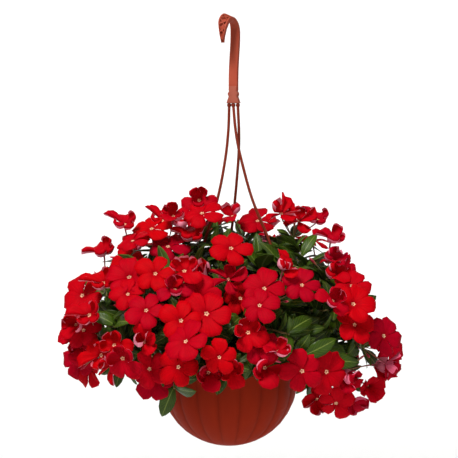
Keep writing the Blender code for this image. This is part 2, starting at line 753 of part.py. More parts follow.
def strip_outline(line, inner, outer):
    """The outline of a strip between two distances from a line: inner to its right, outer to its left."""
    right, left = [], []
    for i, (x, y) in enumerate(line):
        (x0, y0), (x1, y1) = line[max(i - 1, 0)], line[min(i + 1, len(line) - 1)]
        along = Vector((x1 - x0, y1 - y0)).normalized()
        across = Vector((-along.y, along.x))
        narrow = 1.0 if i < len(line) - 2 else (0.75, 0.3)[i - len(line) + 2]
        left.append((x + across.x * outer * narrow, y + across.y * outer * narrow))
        right.append((x - across.x * inner * narrow, y - across.y * inner * narrow))
    return left + right[::-1]


def stand_in_plane(obj):
    """Stands a flat piece up, with its arch rolled: its X along the hook's heading, its Y up."""
    side = HOOK_HEADING.cross(Vector((0, 0, 1)))
    for v in obj.data.vertices:
        v.co.y += HOOK_ROLL * v.co.z * max(0.0, min(1.0, (v.co.y - 0.562) / 0.016))
    turn = Matrix((HOOK_HEADING, Vector((0, 0, 1)), side)).transposed().to_4x4()
    obj.data.transform(turn)
    return obj


def build_hook(parts, material):
    line = hook_line()
    half = HOOK_THICKNESS / 2
    hook = flat_piece("hanger_hook", strip_outline(line, half, half), HOOK_WIDTH, parts)
    channel = new_collection("hook channel")
    groove = strip_outline(line[1:-1], -half + 0.0035, half + 0.003)
    flat_piece("channel", groove, HOOK_WIDTH - 2 * HOOK_CHANNEL_WALL, channel)
    hook = boolean(hook, "DIFFERENCE", channel, parts)
    for v in hook.data.vertices:
        past = max(0.0, min(1.0, (v.co.x - 0.010) / 0.009)) * max(0.0, min(1.0, (0.588 - v.co.y) / 0.026))
        v.co.z *= 1 - 0.76 * past
    stand_in_plane(hook)
    joined = new_collection("hook ribs and hub")
    # Crossed ribs stiffen the channel, each a thin bar across it, leaning one way and then the other
    for i in range(2, len(line) - 4, 2):
        (x0, y0), (x1, y1) = line[i], line[i + 1]
        along = Vector((x1 - x0, y1 - y0)).normalized()
        middle = Vector(((x0 + x1) / 2, (y0 + y1) / 2)) + Vector((-along.y, along.x)) * 0.0006
        bpy.ops.mesh.primitive_cube_add(size=1)
        rib = bpy.context.object
        lean = Matrix.Rotation(0.75 if i % 4 else -0.75, 4, Vector((-along.y, along.x, 0)))
        turn = Matrix.Rotation(math.atan2(along.y, along.x), 4, "Z")
        size = Matrix.Diagonal((0.0013, 0.0030, 0.0135, 1))
        rib.data.transform(Matrix.Translation((*middle, 0)) @ lean @ turn @ size)
        stand_in_plane(rib)
        move_to(rib, joined)
    half_widths = ((HUB_TOP_Z, 0.0062), (0.4955, 0.0057), (0.4915, 0.0074), (0.4870, 0.0066), (HUB_BOTTOM_Z, 0.0098))
    outline = [(w, z) for z, w in half_widths] + [(-w, z) for z, w in reversed(half_widths)]
    hub = flat_piece("hub", outline, HUB_THICKNESS, joined)
    side = HOOK_HEADING.cross(Vector((0, 0, 1)))
    turn = Matrix((side, Vector((0, 0, 1)), -HOOK_HEADING)).transposed().to_4x4()
    hub.data.transform(Matrix.Translation(HOOK_HEADING * HUB_OFFSET) @ turn)
    hook = boolean(hook, "UNION", joined, parts)
    sockets = new_collection("hub sockets")
    for across, _, _ in LEGS.values():
        at = hub_point(across, HUB_BOTTOM_Z)
        bpy.ops.mesh.primitive_cylinder_add(
            vertices=8, radius=LEG_HOLE_RADIUS + 0.0002, depth=2 * LEG_PLUG_LENGTH, location=at
        )
        move_to(bpy.context.object, sockets)
    return boolean(hook, "DIFFERENCE", sockets, parts, material)


def build_leg(name, parts, material):
    """A round leg with a cone on its foot that can't come back up through the flange."""
    path = leg_path(name)
    leg = rod(f"hanger_leg_{name}", path, LEG_RADIUS, parts, 1)
    barb = new_collection("leg barb")
    foot = path[-1]
    top = FLANGE_Z - GAP
    at = (foot.x, foot.y, top - 0.003)
    bpy.ops.mesh.primitive_cone_add(vertices=8, radius1=0.0012, radius2=0.0036, depth=0.006, location=at)
    move_to(bpy.context.object, barb)
    return boolean(leg, "UNION", barb, parts, material)


def build_stem(stem, parts, material):
    """A forked stem with its leaves, joined in one body."""
    trunk = rod(stem["name"], stem["trunk"], STEM_RADIUS, parts, 0, 0.8)
    joined = new_collection("twigs and leaves")
    for i, twig in enumerate(stem["twigs"] + stem["shoots"]):
        rod(f"twig_{i}", twig, TWIG_RADIUS * 1.1, joined, 0, 0.85)
    for i, leaf in enumerate(stem["leaves"]):
        mesh_object(f"leaf_{i}", leaf_shape(leaf), joined)
    return boolean(trunk, "UNION", joined, parts, material, "MANIFOLD")


def build_head(name, head, parts, material):
    """Two to five blooms whose tubes meet in one knob."""
    bpy.ops.mesh.primitive_uv_sphere_add(segments=4, ring_count=2, radius=KNOB_RADIUS)
    knob = bpy.context.object
    knob.name = f"blooms_{name}"
    knob.data.transform(frame_at(head["knob"], head["out"], 0.3))
    move_to(knob, parts)
    joined = new_collection("blooms")
    for i, bloom in enumerate(head["blooms"]):
        mesh_object(f"bloom_{i}", bloom_shape(bloom), joined)
    return boolean(knob, "UNION", joined, parts, material, "MANIFOLD")


def main():
    clear_scene()
    parts = new_collection("potted_madagascar_periwinkle")
    terracotta = plain_material("terracotta plastic", (0.20, 0.022, 0.012), 0.5)
    brick = plain_material("brick plastic", (0.36, 0.055, 0.03), 0.42)
    mix = plain_material("potting mix", (0.025, 0.016, 0.010), 0.95)
    green = plain_material("periwinkle leaf", (0.035, 0.085, 0.018), 0.45)
    red = plain_material("periwinkle petal", (0.60, 0.002, 0.008), 0.55)
    stems, heads = grow()
    build_bowl(parts, terracotta)
    build_soil(parts, mix, stems)
    build_hook(parts, brick)
    for name in LEGS:
        build_leg(name, parts, brick)
    for stem in stems:
        build_stem(stem, parts, green)
    for name, head in heads.items():
        build_head(name, head, parts, red)
    blooms = sum(len(h["blooms"]) for h in heads.values())
    wanted = sum(len(b) for _, b in HEADS.values()) + BACK_HEADS * BACK_BLOOMS
    leaves = sum(len(s["leaves"]) for s in stems)
    shoots = sum(len(s["shoots"]) for s in stems)
    print(f"{blooms} of {wanted} blooms, {len(heads)} heads, {len(stems)} stems")
    print(f"{shoots} of {len(SHOOTS)} shoots, {leaves} leaves")


main()
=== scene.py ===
# %% [markdown]
# # A Madagascar periwinkle in bloom, in a hanging bowl
#
# The object is a whole hanging plant: a fluted plastic bowl, a hanger with a hook and three legs, a
# mound of leafy stems, and more than a hundred red blooms with five petals each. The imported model
# holds its plain solids. This lesson gives every one of them the shape and the finish that the eye
# expects, without moving any of them.
#
# The way through it: the camera and the light, the plan of the plant, the finishes, one petal and one
# leaf by formula, one tree of nodes that sets them out along the stems, and last the bowl, the potting
# mix and the hanger.

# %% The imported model
import itertools
import json
import math
import random
from functools import partial

import bmesh
import bpy
from mathutils import Matrix, Vector
from mathutils.bvhtree import BVHTree
from mathutils.geometry import interpolate_bezier

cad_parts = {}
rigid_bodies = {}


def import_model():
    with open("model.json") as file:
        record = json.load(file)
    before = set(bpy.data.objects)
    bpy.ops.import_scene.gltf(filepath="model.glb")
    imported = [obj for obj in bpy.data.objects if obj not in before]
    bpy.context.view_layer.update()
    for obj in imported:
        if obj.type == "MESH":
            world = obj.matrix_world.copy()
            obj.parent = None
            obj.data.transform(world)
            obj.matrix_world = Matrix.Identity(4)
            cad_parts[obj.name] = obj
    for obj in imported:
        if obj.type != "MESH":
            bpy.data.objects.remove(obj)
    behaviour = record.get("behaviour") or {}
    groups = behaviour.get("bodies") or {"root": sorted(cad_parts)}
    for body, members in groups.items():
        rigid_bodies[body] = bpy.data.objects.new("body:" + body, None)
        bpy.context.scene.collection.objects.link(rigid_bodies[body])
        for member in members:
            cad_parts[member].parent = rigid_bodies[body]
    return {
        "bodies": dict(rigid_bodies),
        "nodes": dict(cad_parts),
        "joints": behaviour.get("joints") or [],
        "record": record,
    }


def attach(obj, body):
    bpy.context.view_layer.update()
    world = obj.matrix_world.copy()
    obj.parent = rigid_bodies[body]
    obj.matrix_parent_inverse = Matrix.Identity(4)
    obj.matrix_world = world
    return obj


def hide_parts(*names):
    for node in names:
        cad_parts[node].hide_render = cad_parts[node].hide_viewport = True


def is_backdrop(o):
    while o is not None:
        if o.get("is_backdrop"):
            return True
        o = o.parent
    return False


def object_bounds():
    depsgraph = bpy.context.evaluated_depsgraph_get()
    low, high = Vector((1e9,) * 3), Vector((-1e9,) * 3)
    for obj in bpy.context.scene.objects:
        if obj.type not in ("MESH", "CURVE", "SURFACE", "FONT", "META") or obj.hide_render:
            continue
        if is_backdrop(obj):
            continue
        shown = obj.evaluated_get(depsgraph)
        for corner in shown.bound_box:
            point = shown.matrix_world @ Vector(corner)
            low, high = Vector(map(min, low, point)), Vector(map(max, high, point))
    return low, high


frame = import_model()
cad_box = [list(corner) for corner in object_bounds()]
MM = 0.001
print(len(frame["nodes"]), "solids, from", cad_box[0], "to", cad_box[1])

# %% [markdown]
# ## Colours, nodes and objects
#
# Colours are written as the hex values that a colour picker shows. Blender calculates with linear
# light, so one function turns them. Another adds a node to any tree: its own settings by name, and a
# table for its inputs, where a number or a colour is a value and a node or a socket is linked. A
# finish starts as a shader with constant values on its own sockets.

# %% Helpers for finishes and objects
def to_linear(hex_colour):
    """An sRGB hex colour such as "#c81e1e" as linear red, green, blue and 1."""
    parts = [int(hex_colour[i : i + 2], 16) / 255 for i in (1, 3, 5)]
    return (*(c / 12.92 if c <= 0.04045 else ((c + 0.055) / 1.055) ** 2.4 for c in parts), 1.0)


def feed(node, values):
    """Fills inputs of a node: a hex colour or a number is a value, and nodes and sockets are linked."""
    for key, value in values.items():
        for one in value if isinstance(value, list) else [value]:
            if isinstance(one, bpy.types.Node):
                one = next(socket for socket in one.outputs if socket.enabled)
            if isinstance(one, bpy.types.NodeSocket):
                node.id_data.links.new(one, node.inputs[key])
            elif isinstance(one, str) and one.startswith("#"):
                node.inputs[key].default_value = to_linear(one)
            else:
                node.inputs[key].default_value = one


def add_node(tree, kind, values=None, **settings):
    """Adds a node with its own settings, and feeds its inputs."""
    node = tree.nodes.new(kind)
    for key, value in settings.items():
        setattr(node, key, value)
    feed(node, values or {})
    return node


def new_finish(name, constants):
    """A material, its shader with these constant values, and what adds nodes to its tree."""
    made = bpy.data.materials.new(name)
    made.use_nodes = True
    shader = made.node_tree.nodes["Principled BSDF"]
    feed(shader, constants)
    return made, shader, partial(add_node, made.node_tree)


def show(name, data, place=(0, 0, 0), target=None):
    """A new object in the scene. A camera or lamp looks at its target."""
    obj = bpy.data.objects.new(name, data)
    obj.location = place
    if target is not None:
        obj.rotation_euler = (Vector(target) - Vector(place)).to_track_quat("-Z", "Y").to_euler()
    bpy.context.scene.collection.objects.link(obj)
    return obj


print("petal red in linear light:", [round(c, 3) for c in to_linear("#c8000a")])

# %% [markdown]
# ## Camera
#
# The photograph looks almost level at the plant, from a little above its middle. A long lens from
# 1.8 metres keeps the bowl and the hook nearly undistorted, as in a catalogue picture.

# %% Camera
SIGHT_POINT = Vector((0, -1.8, 0.43))
AIM = Vector((0, 0, 0.303))
LENS = 101
view_camera = show("camera", bpy.data.cameras.new("camera"), SIGHT_POINT, AIM)
view_camera.data.lens = LENS
bpy.context.scene.camera = view_camera
print("camera at", tuple(SIGHT_POINT), "lens", LENS, "mm")

# %% [markdown]
# ## Studio
#
# A plain white sweep stands well below and behind the hanging plant. Its corner is rounded, so no
# horizon shows, and two lamps of its own light it to clean white. The plant itself has a soft key
# light high in front, which leaves the heart of the foliage dark, a weak fill and the room's light.
# The standard view transform keeps the reds as saturated as they are in print.

# %% Sweep and light
FLOOR_Z = -0.32
SWEEP_FRONT_Y = -5.0
SWEEP_BACK_Y = 3.2
SWEEP_TOP_Z = 4.5
SWEEP_CORNER = 1.2
SWEEP_CORNER_STEPS = 12
SWEEP_HALF_WIDTH = 5.0
ROOM_LIGHT = 0.22
# Each panel: where it stands, what it looks at, its width, its power in watts, its spread in degrees
PANELS = {
    "key panel": ((-0.7, -1.6, 2.5), (0, 0, 0.25), 0.8, 80, 180),
    "fill panel": ((1.9, -2.0, 0.7), (0, 0, 0.20), 1.4, 9, 180),
    "sweep lamp left": ((-2.6, 0.7, 1.8), (-0.6, 3.0, -0.1), 1.0, 20, 100),
    "sweep lamp right": ((2.6, 0.7, 1.8), (0.6, 3.0, -0.1), 1.0, 20, 100),
}
profile = [(SWEEP_FRONT_Y, FLOOR_Z)]
for k in range(SWEEP_CORNER_STEPS + 1):
    a = math.radians(90 * k / SWEEP_CORNER_STEPS)
    across = SWEEP_BACK_Y - SWEEP_CORNER + math.sin(a) * SWEEP_CORNER
    profile.append((across, FLOOR_Z + (1 - math.cos(a)) * SWEEP_CORNER))
profile.append((SWEEP_BACK_Y, SWEEP_TOP_Z))
count = len(profile)
sweep_mesh = bpy.data.meshes.new("sweep")
points = [(x, y, z) for x in (-SWEEP_HALF_WIDTH, SWEEP_HALF_WIDTH) for y, z in profile]
sweep_mesh.from_pydata(points, [], [(i, i + count, i + count + 1, i + 1) for i in range(count - 1)])
sweep_mesh.flip_normals()
sweep_mesh.shade_smooth()
# Uncoated paper is matt: it has no gloss
paper = new_finish("matt white paper", {"Base Color": "#f7f7f6", "Roughness": 0.95})[0]
sweep_mesh.materials.append(paper)
show("sweep", sweep_mesh)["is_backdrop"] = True

room = bpy.data.worlds.new("bright room")
room.use_nodes = True
feed(room.node_tree.nodes["Background"], {"Color": "#ffffff", "Strength": ROOM_LIGHT})
bpy.context.scene.world = room
for name, (place, target, width, power, spread) in PANELS.items():
    lamp = bpy.data.lights.new(name, "AREA")
    lamp.size, lamp.energy, lamp.spread = width, power, math.radians(spread)
    show(name, lamp, place, target)
bpy.context.scene.view_settings.view_transform = "Standard"
print(len(PANELS), "panels of light")

# %% [markdown]
# ## The plan of the plant
#
# The solids were grown from a plan: a list of bloom places, and rules that run stems to them and keep
# every part clear of the others. A finer mesh has to stand exactly where its solid stands, so this
# lesson repeats the plan from the same sizes and the same random seed. Reading points back from the
# solids would be the other way, but it gives no stems, no facings and no leaf frames to build on.
#
# First the sizes. The bowl is part of an ellipse, the hanger is a hook with three legs, and the
# foliage fills a dome.

# %% Sizes of the bowl and the hanger
GAP = 0.0003
SEED = 11
BOWL_RADIUS = 0.0970
BOWL_CENTRE_Z = 0.090
BOWL_DEPTH = 0.093
BOWL_WALL = 0.0018
BOWL_FLARE = 0.0015
FLANGE_RADIUS = 0.110
FLANGE_Z = 0.112
FLANGE_THICKNESS = 0.0032
FLUTES = 20
FLUTE_DEPTH = 0.0016
DRAIN_SLOTS = 6
DRAIN_SLOT_WIDTH = 0.0034
DRAIN_SLOT_LENGTH = 0.009
DRAIN_RING_RADIUS = 0.0145
SOIL_EDGE_Z = 0.104
SOIL_CROWN_Z = 0.108

HOOK_HEADING = Vector((-0.47, -0.88, 0)).normalized()
HOOK_THICKNESS = 0.0055
HOOK_ARCH_Z = 0.5790
HOOK_ARCH_RADIUS = 0.019
HOOK_ROLL = 0.42
HUB_TOP_Z = 0.503
HUB_BOTTOM_Z = 0.479
HUB_THICKNESS = 0.0078
HUB_OFFSET = -0.0134
LEG_RADIUS = 0.0020
LEG_HOLE_RADIUS = 0.0024
LEG_PLUG_LENGTH = 0.006
FLANGE_HOLE_RING = 0.1045
# Each leg: where its plug stands across the hub, the bearing of its hole in the flange, and the
# places it passes on the way, in millimetres: across, up, and how far behind the centre plane
LEGS = {
    "left": (-0.0068, 220.0, [(-1, 440, 14), (-6, 396, 9), (-17, 342, 2), (-37, 276, -20)]),
    "right": (-0.0005, 340.0, [(10, 436, 4), (18, 397, 0), (34, 341, -8), (61, 273, -17)]),
    "back": (0.0068, 100.0, [(14, 432, 14), (12, 385, 27), (3, 296, 58)]),
}
LEG_STEPS = 3
print("the bowl is", round(2000 * FLANGE_RADIUS), "mm across its flange")

# %% Sizes of the plant
DOME = Vector((0.235, 0.205, 0.125))
DOME_CENTRE = Vector((0, 0, 0.180))
BACK_HEADS = 12
BACK_BLOOMS = 3
BACK_NARROWING = 0.83
# A bloom: five broad petals in a plate on a slender tube. The rim of each petal is three points: the
# notch before it and its two shoulders, each a turn, a reach out of the radius and a rise
BLOOM_DIAMETER = 0.055
PETALS = 5
PETAL_RIM = ((-0.63, 0.60, -0.0014), (-0.38, 0.97, 0.0009), (0.32, 0.99, -0.0005))
EYE_DEPTH = 0.0022
MOUTH_DEPTH = 0.0044
BLADE = 0.0008
TUBE_RADIUS = 0.0012
KNOB_RADIUS = 0.0034
KNOB_DEPTH = 0.040
# A leafy stem forks to two heads and carries leaves in opposite pairs, at these shares of each twig.
# A stem with a shoot carries its lower pair there.
STEM_RADIUS = 0.0024
TWIG_RADIUS = 0.0016
TWIG_POINTS = 6
SHOOT_POINTS = 4
STEM_DEPTH = 0.018
LEAF_LENGTH = 0.050
LEAF_WIDTH = 0.023
LEAF_DROOPS = (0.22, 0.31, 0.40, 0.49)
LEAF_PAIRS = ((0.90,), (0.90, 0.42))
SHOOT_PAIRS = (0.97, 0.72)
CLEARANCE = 0.0005
UP = Vector((0, 0, 1))
print("a bloom is", round(1000 * BLOOM_DIAMETER), "mm across, a leaf", round(1000 * LEAF_LENGTH), "mm long")

# %% The heads of blooms on the near side, and the leafy shoots
# The blooms on the side that shows, head by head: how far the head lies behind the bowl's centre
# plane (None follows the dome), and each bloom's place across and up, in millimetres, as seen
# from the sight point on that plane. A third number marks a half-open bloom: how far its cup closes.
HEADS = {
    "crown_left": (-30, [(-38, 327), (-42, 344), (-52, 292)]),
    "ridge_left": (-25, [(-78, 322), (-94, 316), (-109, 305), (-86, 280)]),
    "shoulder_left": (-30, [(-147, 311), (-136, 288), (-146, 257)]),
    "flank_left": (None, [(-177, 272), (-178, 228), (-208, 210)]),
    "upper_left": (None, [(-104, 241), (-63, 245), (-76, 218)]),
    "middle_left": (None, [(-143, 212), (-141, 236), (-117, 189)]),
    "centre_left": (None, [(-68, 174), (-32, 184), (-42, 208), (-62, 145)]),
    "centre": (-130, [(-1, 233), (16, 206), (3, 277), (-33, 239, 0.7)]),
    "centre_right": (None, [(50, 220), (76, 247, 0.7), (43, 196), (103, 225)]),
    "crown_back": (45, [(4, 323), (40, 316)]),
    "crown_right": (0, [(98, 315), (74, 326), (124, 317), (78, 324, 0.8)]),
    "shoulder_right": (-70, [(144, 291), (146, 260), (150, 238)]),
    "flank_right": (None, [(160, 248), (173, 224), (176, 198), (147, 202)]),
    "tip_left": (None, [(-198, 182), (-217, 168), (-206, 160)]),
    "low_left": (None, [(-215, 150), (-210, 136), (-195, 154), (-213, 118), (-199, 106)]),
    "front_left": (None, [(-163, 139), (-182, 124), (-151, 119), (-166, 110)]),
    "skirt_left": (None, [(-120, 143), (-72, 107), (-113, 104), (-106, 87)]),
    "skirt_centre": (None, [(-29, 99), (3, 105), (-14, 121)]),
    "front_right": (None, [(27, 157), (43, 138), (51, 106), (70, 131)]),
    "skirt_right": (None, [(104, 101), (139, 100), (125, 60), (152, 54)]),
    "low_right": (None, [(178, 58), (163, 94, 0.8), (208, 110, 0.9), (197, 80)]),
    "tip_right": (None, [(178, 168), (220, 152), (228, 131), (223, 112, 1.0)]),
}
# Leafy shoots without blooms: each tip's place across and up and its depth, as for the heads
SHOOTS = [
    (46, 274, -60), (80, 272, -50), (111, 284, -40), (-6, 288, -30), (-60, 285, 30), (30, 292, 60),
    (88, 50, None), (92, 170, None), (130, 140, None), (165, 128, None), (-75, 66, None), (-178, 186, None),
]
print(sum(len(blooms) for _, blooms in HEADS.values()), "blooms face the viewer")

# %% [markdown]
# Each planned part is tested as a plain shape of points and faces: a prism for a stem, a plate on a
# tube for a bloom, a pointed oval for a leaf. A tree of boxes round their faces finds crossings
# quickly, so thousands of trials take a few seconds.

# %% Plain shapes to test with
def on_ring(k, count, radius=1.0, z=0.0, turn=0.0):
    """One of so many points round a circle."""
    a = math.tau * k / count + turn
    return Vector((math.cos(a) * radius, math.sin(a) * radius, z))


def bands(rows, sides):
    """Faces between rows of so many points, each row closed in a ring."""
    faces = []
    for i in range(rows - 1):
        for k in range(sides):
            a, b = i * sides + k, i * sides + (k + 1) % sides
            faces.append((a, b, b + sides, a + sides))
    return faces


def walls(under):
    """Faces between a rim and the points under it. Where a point is its own underside, the wall ends."""
    n = len(under)
    corners = [(k, under[k], under[(k + 1) % n], (k + 1) % n) for k in range(n)]
    return [tuple(dict.fromkeys(wall)) for wall in corners]


def heading_at(path, i):
    """Which way a path runs at one of its points."""
    return path[min(i + 1, len(path) - 1)] - path[max(i - 1, 0)]


def tube_shape(path, radius, sides):
    """A closed prism along a path."""
    points = []
    for i, p in enumerate(path):
        turn = heading_at(path, i).to_track_quat("Z", "Y").to_matrix()
        points += [p + turn @ on_ring(k, sides) * radius for k in range(sides)]
    last = len(points) - sides
    return points, [*bands(len(path), sides), tuple(reversed(range(sides))), tuple(range(last, len(points)))]


def bloom_shape(bloom, extra=0.0):
    """Five petals in one thin plate or cup, narrowing behind into a three-sided tube to its knob."""
    half = Vector((0, 0, BLADE / 2 + extra))
    open_reach = (bloom["diameter"] / 2) * math.cos(bloom["cup"]) + extra
    cup_rise = (bloom["diameter"] / 2) * math.sin(bloom["cup"])
    rim = []
    for k in range(PETALS):
        for turn, reach, rise in PETAL_RIM:
            rim.append(on_ring(k, PETALS, reach * open_reach, rise + reach * cup_rise, turn))
    n = centre = len(rim)
    # The petals part at single points, and have a thickness at every other point of the rim
    local = [p if k % 3 == 0 else p + half for k, p in enumerate(rim)]
    local.append(Vector((0, 0, BLADE / 2 + extra - EYE_DEPTH)))
    under = []
    for k, p in enumerate(rim):
        under.append(k if k % 3 == 0 else len(local))
        if k % 3:
            local.append(p - half)
    frame = bloom["frame"]
    points = [frame @ p for p in local]
    faces = [(centre, k, (k + 1) % n) for k in range(n)] + walls(under)
    start = frame @ Vector((0, 0, -MOUTH_DEPTH - extra))
    ring = len(points)
    turn = frame.to_3x3()
    swing = (turn @ -UP).rotation_difference(bloom["root"] - start).to_matrix()
    rays = [turn @ on_ring(k, 3, turn=math.pi / 5) * (TUBE_RADIUS + extra) for k in range(3)]
    points += [start + ray for ray in rays] + [bloom["root"] + swing @ ray for ray in rays]
    for k in range(3):
        a, b = ring + k, ring + (k + 1) % 3
        first = k * n // 3
        for i in range(first, first + n // 3):
            faces.append((under[i % n], a, under[(i + 1) % n]))
        faces.append((under[(first + n // 3) % n], a, b))
    for k in range(3):
        a, b = ring + k, ring + (k + 1) % 3
        faces.append((a, a + 3, b + 3, b))
    faces.append((ring + 3, ring + 5, ring + 4))
    return points, faces


def leaf_shape(leaf, extra=0.0):
    """A pointed oval blade, arched along its length, the same above and below."""
    length = leaf["length"] + extra
    half = Vector((0, 0, BLADE / 2 + extra))
    edge = ((0.0, 0.0), (0.34, -0.94), (0.70, -0.78), (1.0, 0.0), (0.70, 0.78), (0.34, 0.94))
    local = []
    for s, w in edge:
        rise = length * (0.20 * s - leaf["droop"] * s * s)
        local.append(Vector((s * length, w * (leaf["width"] / 2 + extra), rise)))
    tip, n = 3, len(local)
    points = [p if k == tip else p + half for k, p in enumerate(local)]
    under = [k if k == tip else n + k - (k > tip) for k in range(n)]
    points += [p - half for k, p in enumerate(local) if k != tip]
    faces = [(0, 1, 5), (1, 2, 4, 5), (2, 3, 4)]
    faces += [tuple(under[i] for i in reversed(f)) for f in faces]
    faces += walls(under)
    return [leaf["frame"] @ p for p in points], faces


def bowl_radius(z):
    """The bowl's outer radius at a height."""
    share = (BOWL_CENTRE_Z - min(z, BOWL_CENTRE_Z)) / BOWL_DEPTH
    flare = BOWL_FLARE * max(0.0, z - BOWL_CENTRE_Z) / (FLANGE_Z - BOWL_CENTRE_Z)
    return BOWL_RADIUS * math.sqrt(1 - share * share) + flare


def outer_shape(extra):
    """The bowl's flange and outer wall as bands of faces."""
    low, high = FLANGE_Z - extra, FLANGE_Z + FLANGE_THICKNESS + extra
    section = [(BOWL_RADIUS - BOWL_WALL, high), (FLANGE_RADIUS + extra, high), (FLANGE_RADIUS + extra, low)]
    section += [(bowl_radius(z) + extra, z) for z in (0.110, 0.085, 0.060, 0.035, 0.010)]
    points, faces = [], []
    n = len(section)
    for k in range(FLUTES):
        points += [on_ring(k, FLUTES, r, z) for r, z in section]
        near, far = n * k, n * ((k + 1) % FLUTES)
        faces += [(near + j, near + j + 1, far + j + 1, far + j) for j in range(n - 1)]
    return points, faces


class Space:
    """What already stands in the way, as boxes and trees of faces."""

    def __init__(self):
        self.held = []

    def entry(self, shape, owner):
        """The shape's box, the tree of its faces and whose it is."""
        points, faces = shape
        low, high = (Vector(map(end, zip(*points))) for end in (min, max))
        return low, high, BVHTree.FromPolygons(points, faces), owner

    def add(self, shape, owner):
        """From now on the shape is in the way."""
        self.held.append(self.entry(shape, owner))

    def clear(self, shape, friends=(), kin=None):
        """True if the shape crosses nothing but its friends. Kin may meet the shape's last four faces."""
        low, high, tree, _ = self.entry(shape, None)
        tail = len(shape[1]) - 4
        for other_low, other_high, other, owner in self.held:
            if owner in friends:
                continue
            if any(low[i] > other_high[i] or other_low[i] > high[i] for i in range(3)):
                continue
            if any(owner != kin or min(hit) < tail for hit in tree.overlap(other)):
                return False
        return True


space = Space()
print("the space round the bowl is empty:", space.held == [])

# %% [markdown]
# The legs of the hanger come first, because the plant grows round them. A leg's path leaves the hub
# straight down, swings out and comes straight down through the flange.

# %% Paths of the legs
def smooth_path(points, steps):
    """A smooth path through all but the first and last of the points, which only steer its ends."""
    path = []
    for a, b, c, d in zip(points, points[1:], points[2:], points[3:]):
        reach = (c - b).length
        lead = (c - a) * reach / ((b - a).length + reach)
        trail = (d - b) * reach / ((d - c).length + reach)
        path += interpolate_bezier(b, b + lead / 2.6, c - trail / 2.6, c, steps + 1)[:-1]
    return path + [points[-2]]


def hub_point(across, z):
    """A place on the hub, so far to the viewer's right of its middle."""
    side = HOOK_HEADING.cross(UP)
    if side.x < 0:
        side = -side
    return HOOK_HEADING * HUB_OFFSET + side * across + Vector((0, 0, z))


def on_sight_line(x, z, depth):
    """The point behind (x, z) of the centre plane, as far back as depth says."""
    aim = Vector((x, 0, z))
    ray = aim - SIGHT_POINT
    return aim + ray * (depth / ray.y)


def leg_path(name):
    """Down out of the hub, swinging out, and straight down through the flange."""
    across, bearing, passes = LEGS[name]
    top = hub_point(across, HUB_BOTTOM_Z)
    angle = math.radians(bearing)
    foot = Vector((math.cos(angle), math.sin(angle), 0)) * FLANGE_HOLE_RING
    landing = foot + Vector((0, 0, FLANGE_Z + 0.012))
    through = [on_sight_line(x * MM, z * MM, y * MM) for x, z, y in passes]
    plug = top + Vector((0, 0, LEG_PLUG_LENGTH - 0.0004))
    end = foot + Vector((0, 0, FLANGE_Z - 0.004))
    return [plug, *smooth_path([plug, top, *through, landing, end], LEG_STEPS), end]


for name in LEGS:
    space.add(tube_shape(leg_path(name), LEG_RADIUS + CLEARANCE, 8), "hanger")
space.add(outer_shape(CLEARANCE), "bowl")
print(len(space.held), "things in the way so far")

# %% [markdown]
# The blooms face out of the dome, and those on the near side lean to the light that falls from the
# viewer's side as well. The far side has no picture, so its heads are spread evenly by the golden
# angle.

# %% Places of the heads
def in_domes(v):
    """A vector measured in the dome's own half lengths."""
    return Vector([v[i] / DOME[i] for i in range(3)])


def dome_depth(x, z):
    """How far in front of the centre plane the sight line through (x, z) meets the dome."""
    ray = (Vector((x, 0, z)) - SIGHT_POINT).normalized()
    start, step = in_domes(SIGHT_POINT - DOME_CENTRE), in_domes(ray)
    a, b, c = step.dot(step), start.dot(step), start.dot(start) - 1
    within = max(0.0, b * b - a * c)
    return SIGHT_POINT.y + ray.y * (-b - math.sqrt(within)) / a


def outward(p):
    """The dome's outward direction at a point, leaning up."""
    d = p - DOME_CENTRE + Vector((0, 0, 0.03))
    n = Vector([d[i] / DOME[i] ** 2 for i in range(3)]).normalized()
    return (n + Vector((0, 0, 0.22))).normalized()


def back_heads(rng):
    """The heads on the far side, spread by the golden angle over the dome, which is narrower there."""
    made = {}
    for i in range(BACK_HEADS):
        bearing = math.radians(-8 + 196 * ((0.11 + i * 0.618) % 1.0) + rng.uniform(-4, 4))
        climb = math.radians(-26 + 98 * (i + 0.5) / BACK_HEADS)
        flat = math.cos(climb)
        heading = Vector((math.cos(bearing) * flat, math.sin(bearing) * flat, math.sin(climb)))
        reach = Vector((DOME.x * BACK_NARROWING, DOME.y, DOME.z))
        centre = DOME_CENTRE + Vector([heading[k] * reach[k] for k in range(3)])
        side = heading.cross(UP).normalized()
        rise = side.cross(heading)
        spots = []
        for k in range(BACK_BLOOMS):
            a = math.tau * k / BACK_BLOOMS + i
            spots.append(centre + (side * math.cos(a) + rise * math.sin(a)) * 0.031)
        made[f"back_{i + 1}"] = spots
    return made


def spot_at(x, z, depth):
    """A place given in millimetres as seen from the sight point, on the dome if it has no depth."""
    y = dome_depth(x * MM, z * MM) if depth is None else depth * MM
    return on_sight_line(x * MM, z * MM, y)


def facing_of(name, spot):
    """Which way a bloom looks: out of the dome, and on the near side towards the viewer too."""
    lean = Vector((0, 0, 0)) if name.startswith("back_") else (SIGHT_POINT - spot).normalized() * 0.75
    return (outward(spot) + lean).normalized()


rng = random.Random(SEED)
# Every head's bloom places in space, and how far each bloom's cup closes
spots, cups = {}, {}
for name, (depth, blooms) in HEADS.items():
    spots[name] = [spot_at(x, z, depth) for x, z, *_ in blooms]
    cups[name] = [cup[0] if cup else 0.0 for _, _, *cup in blooms]
for name, places in back_heads(rng).items():
    spots[name] = places
    cups[name] = [0.0] * len(places)
print(len(spots), "heads with", sum(map(len, spots.values())), "blooms")

# %% [markdown]
# Two heads near each other share one stem, which forks above the soil. Leafy shoots without blooms
# leave the same forks. Then the blooms slide, turn and at last shrink until each one is clear, and
# the big leaves swing in pairs until they are clear too.

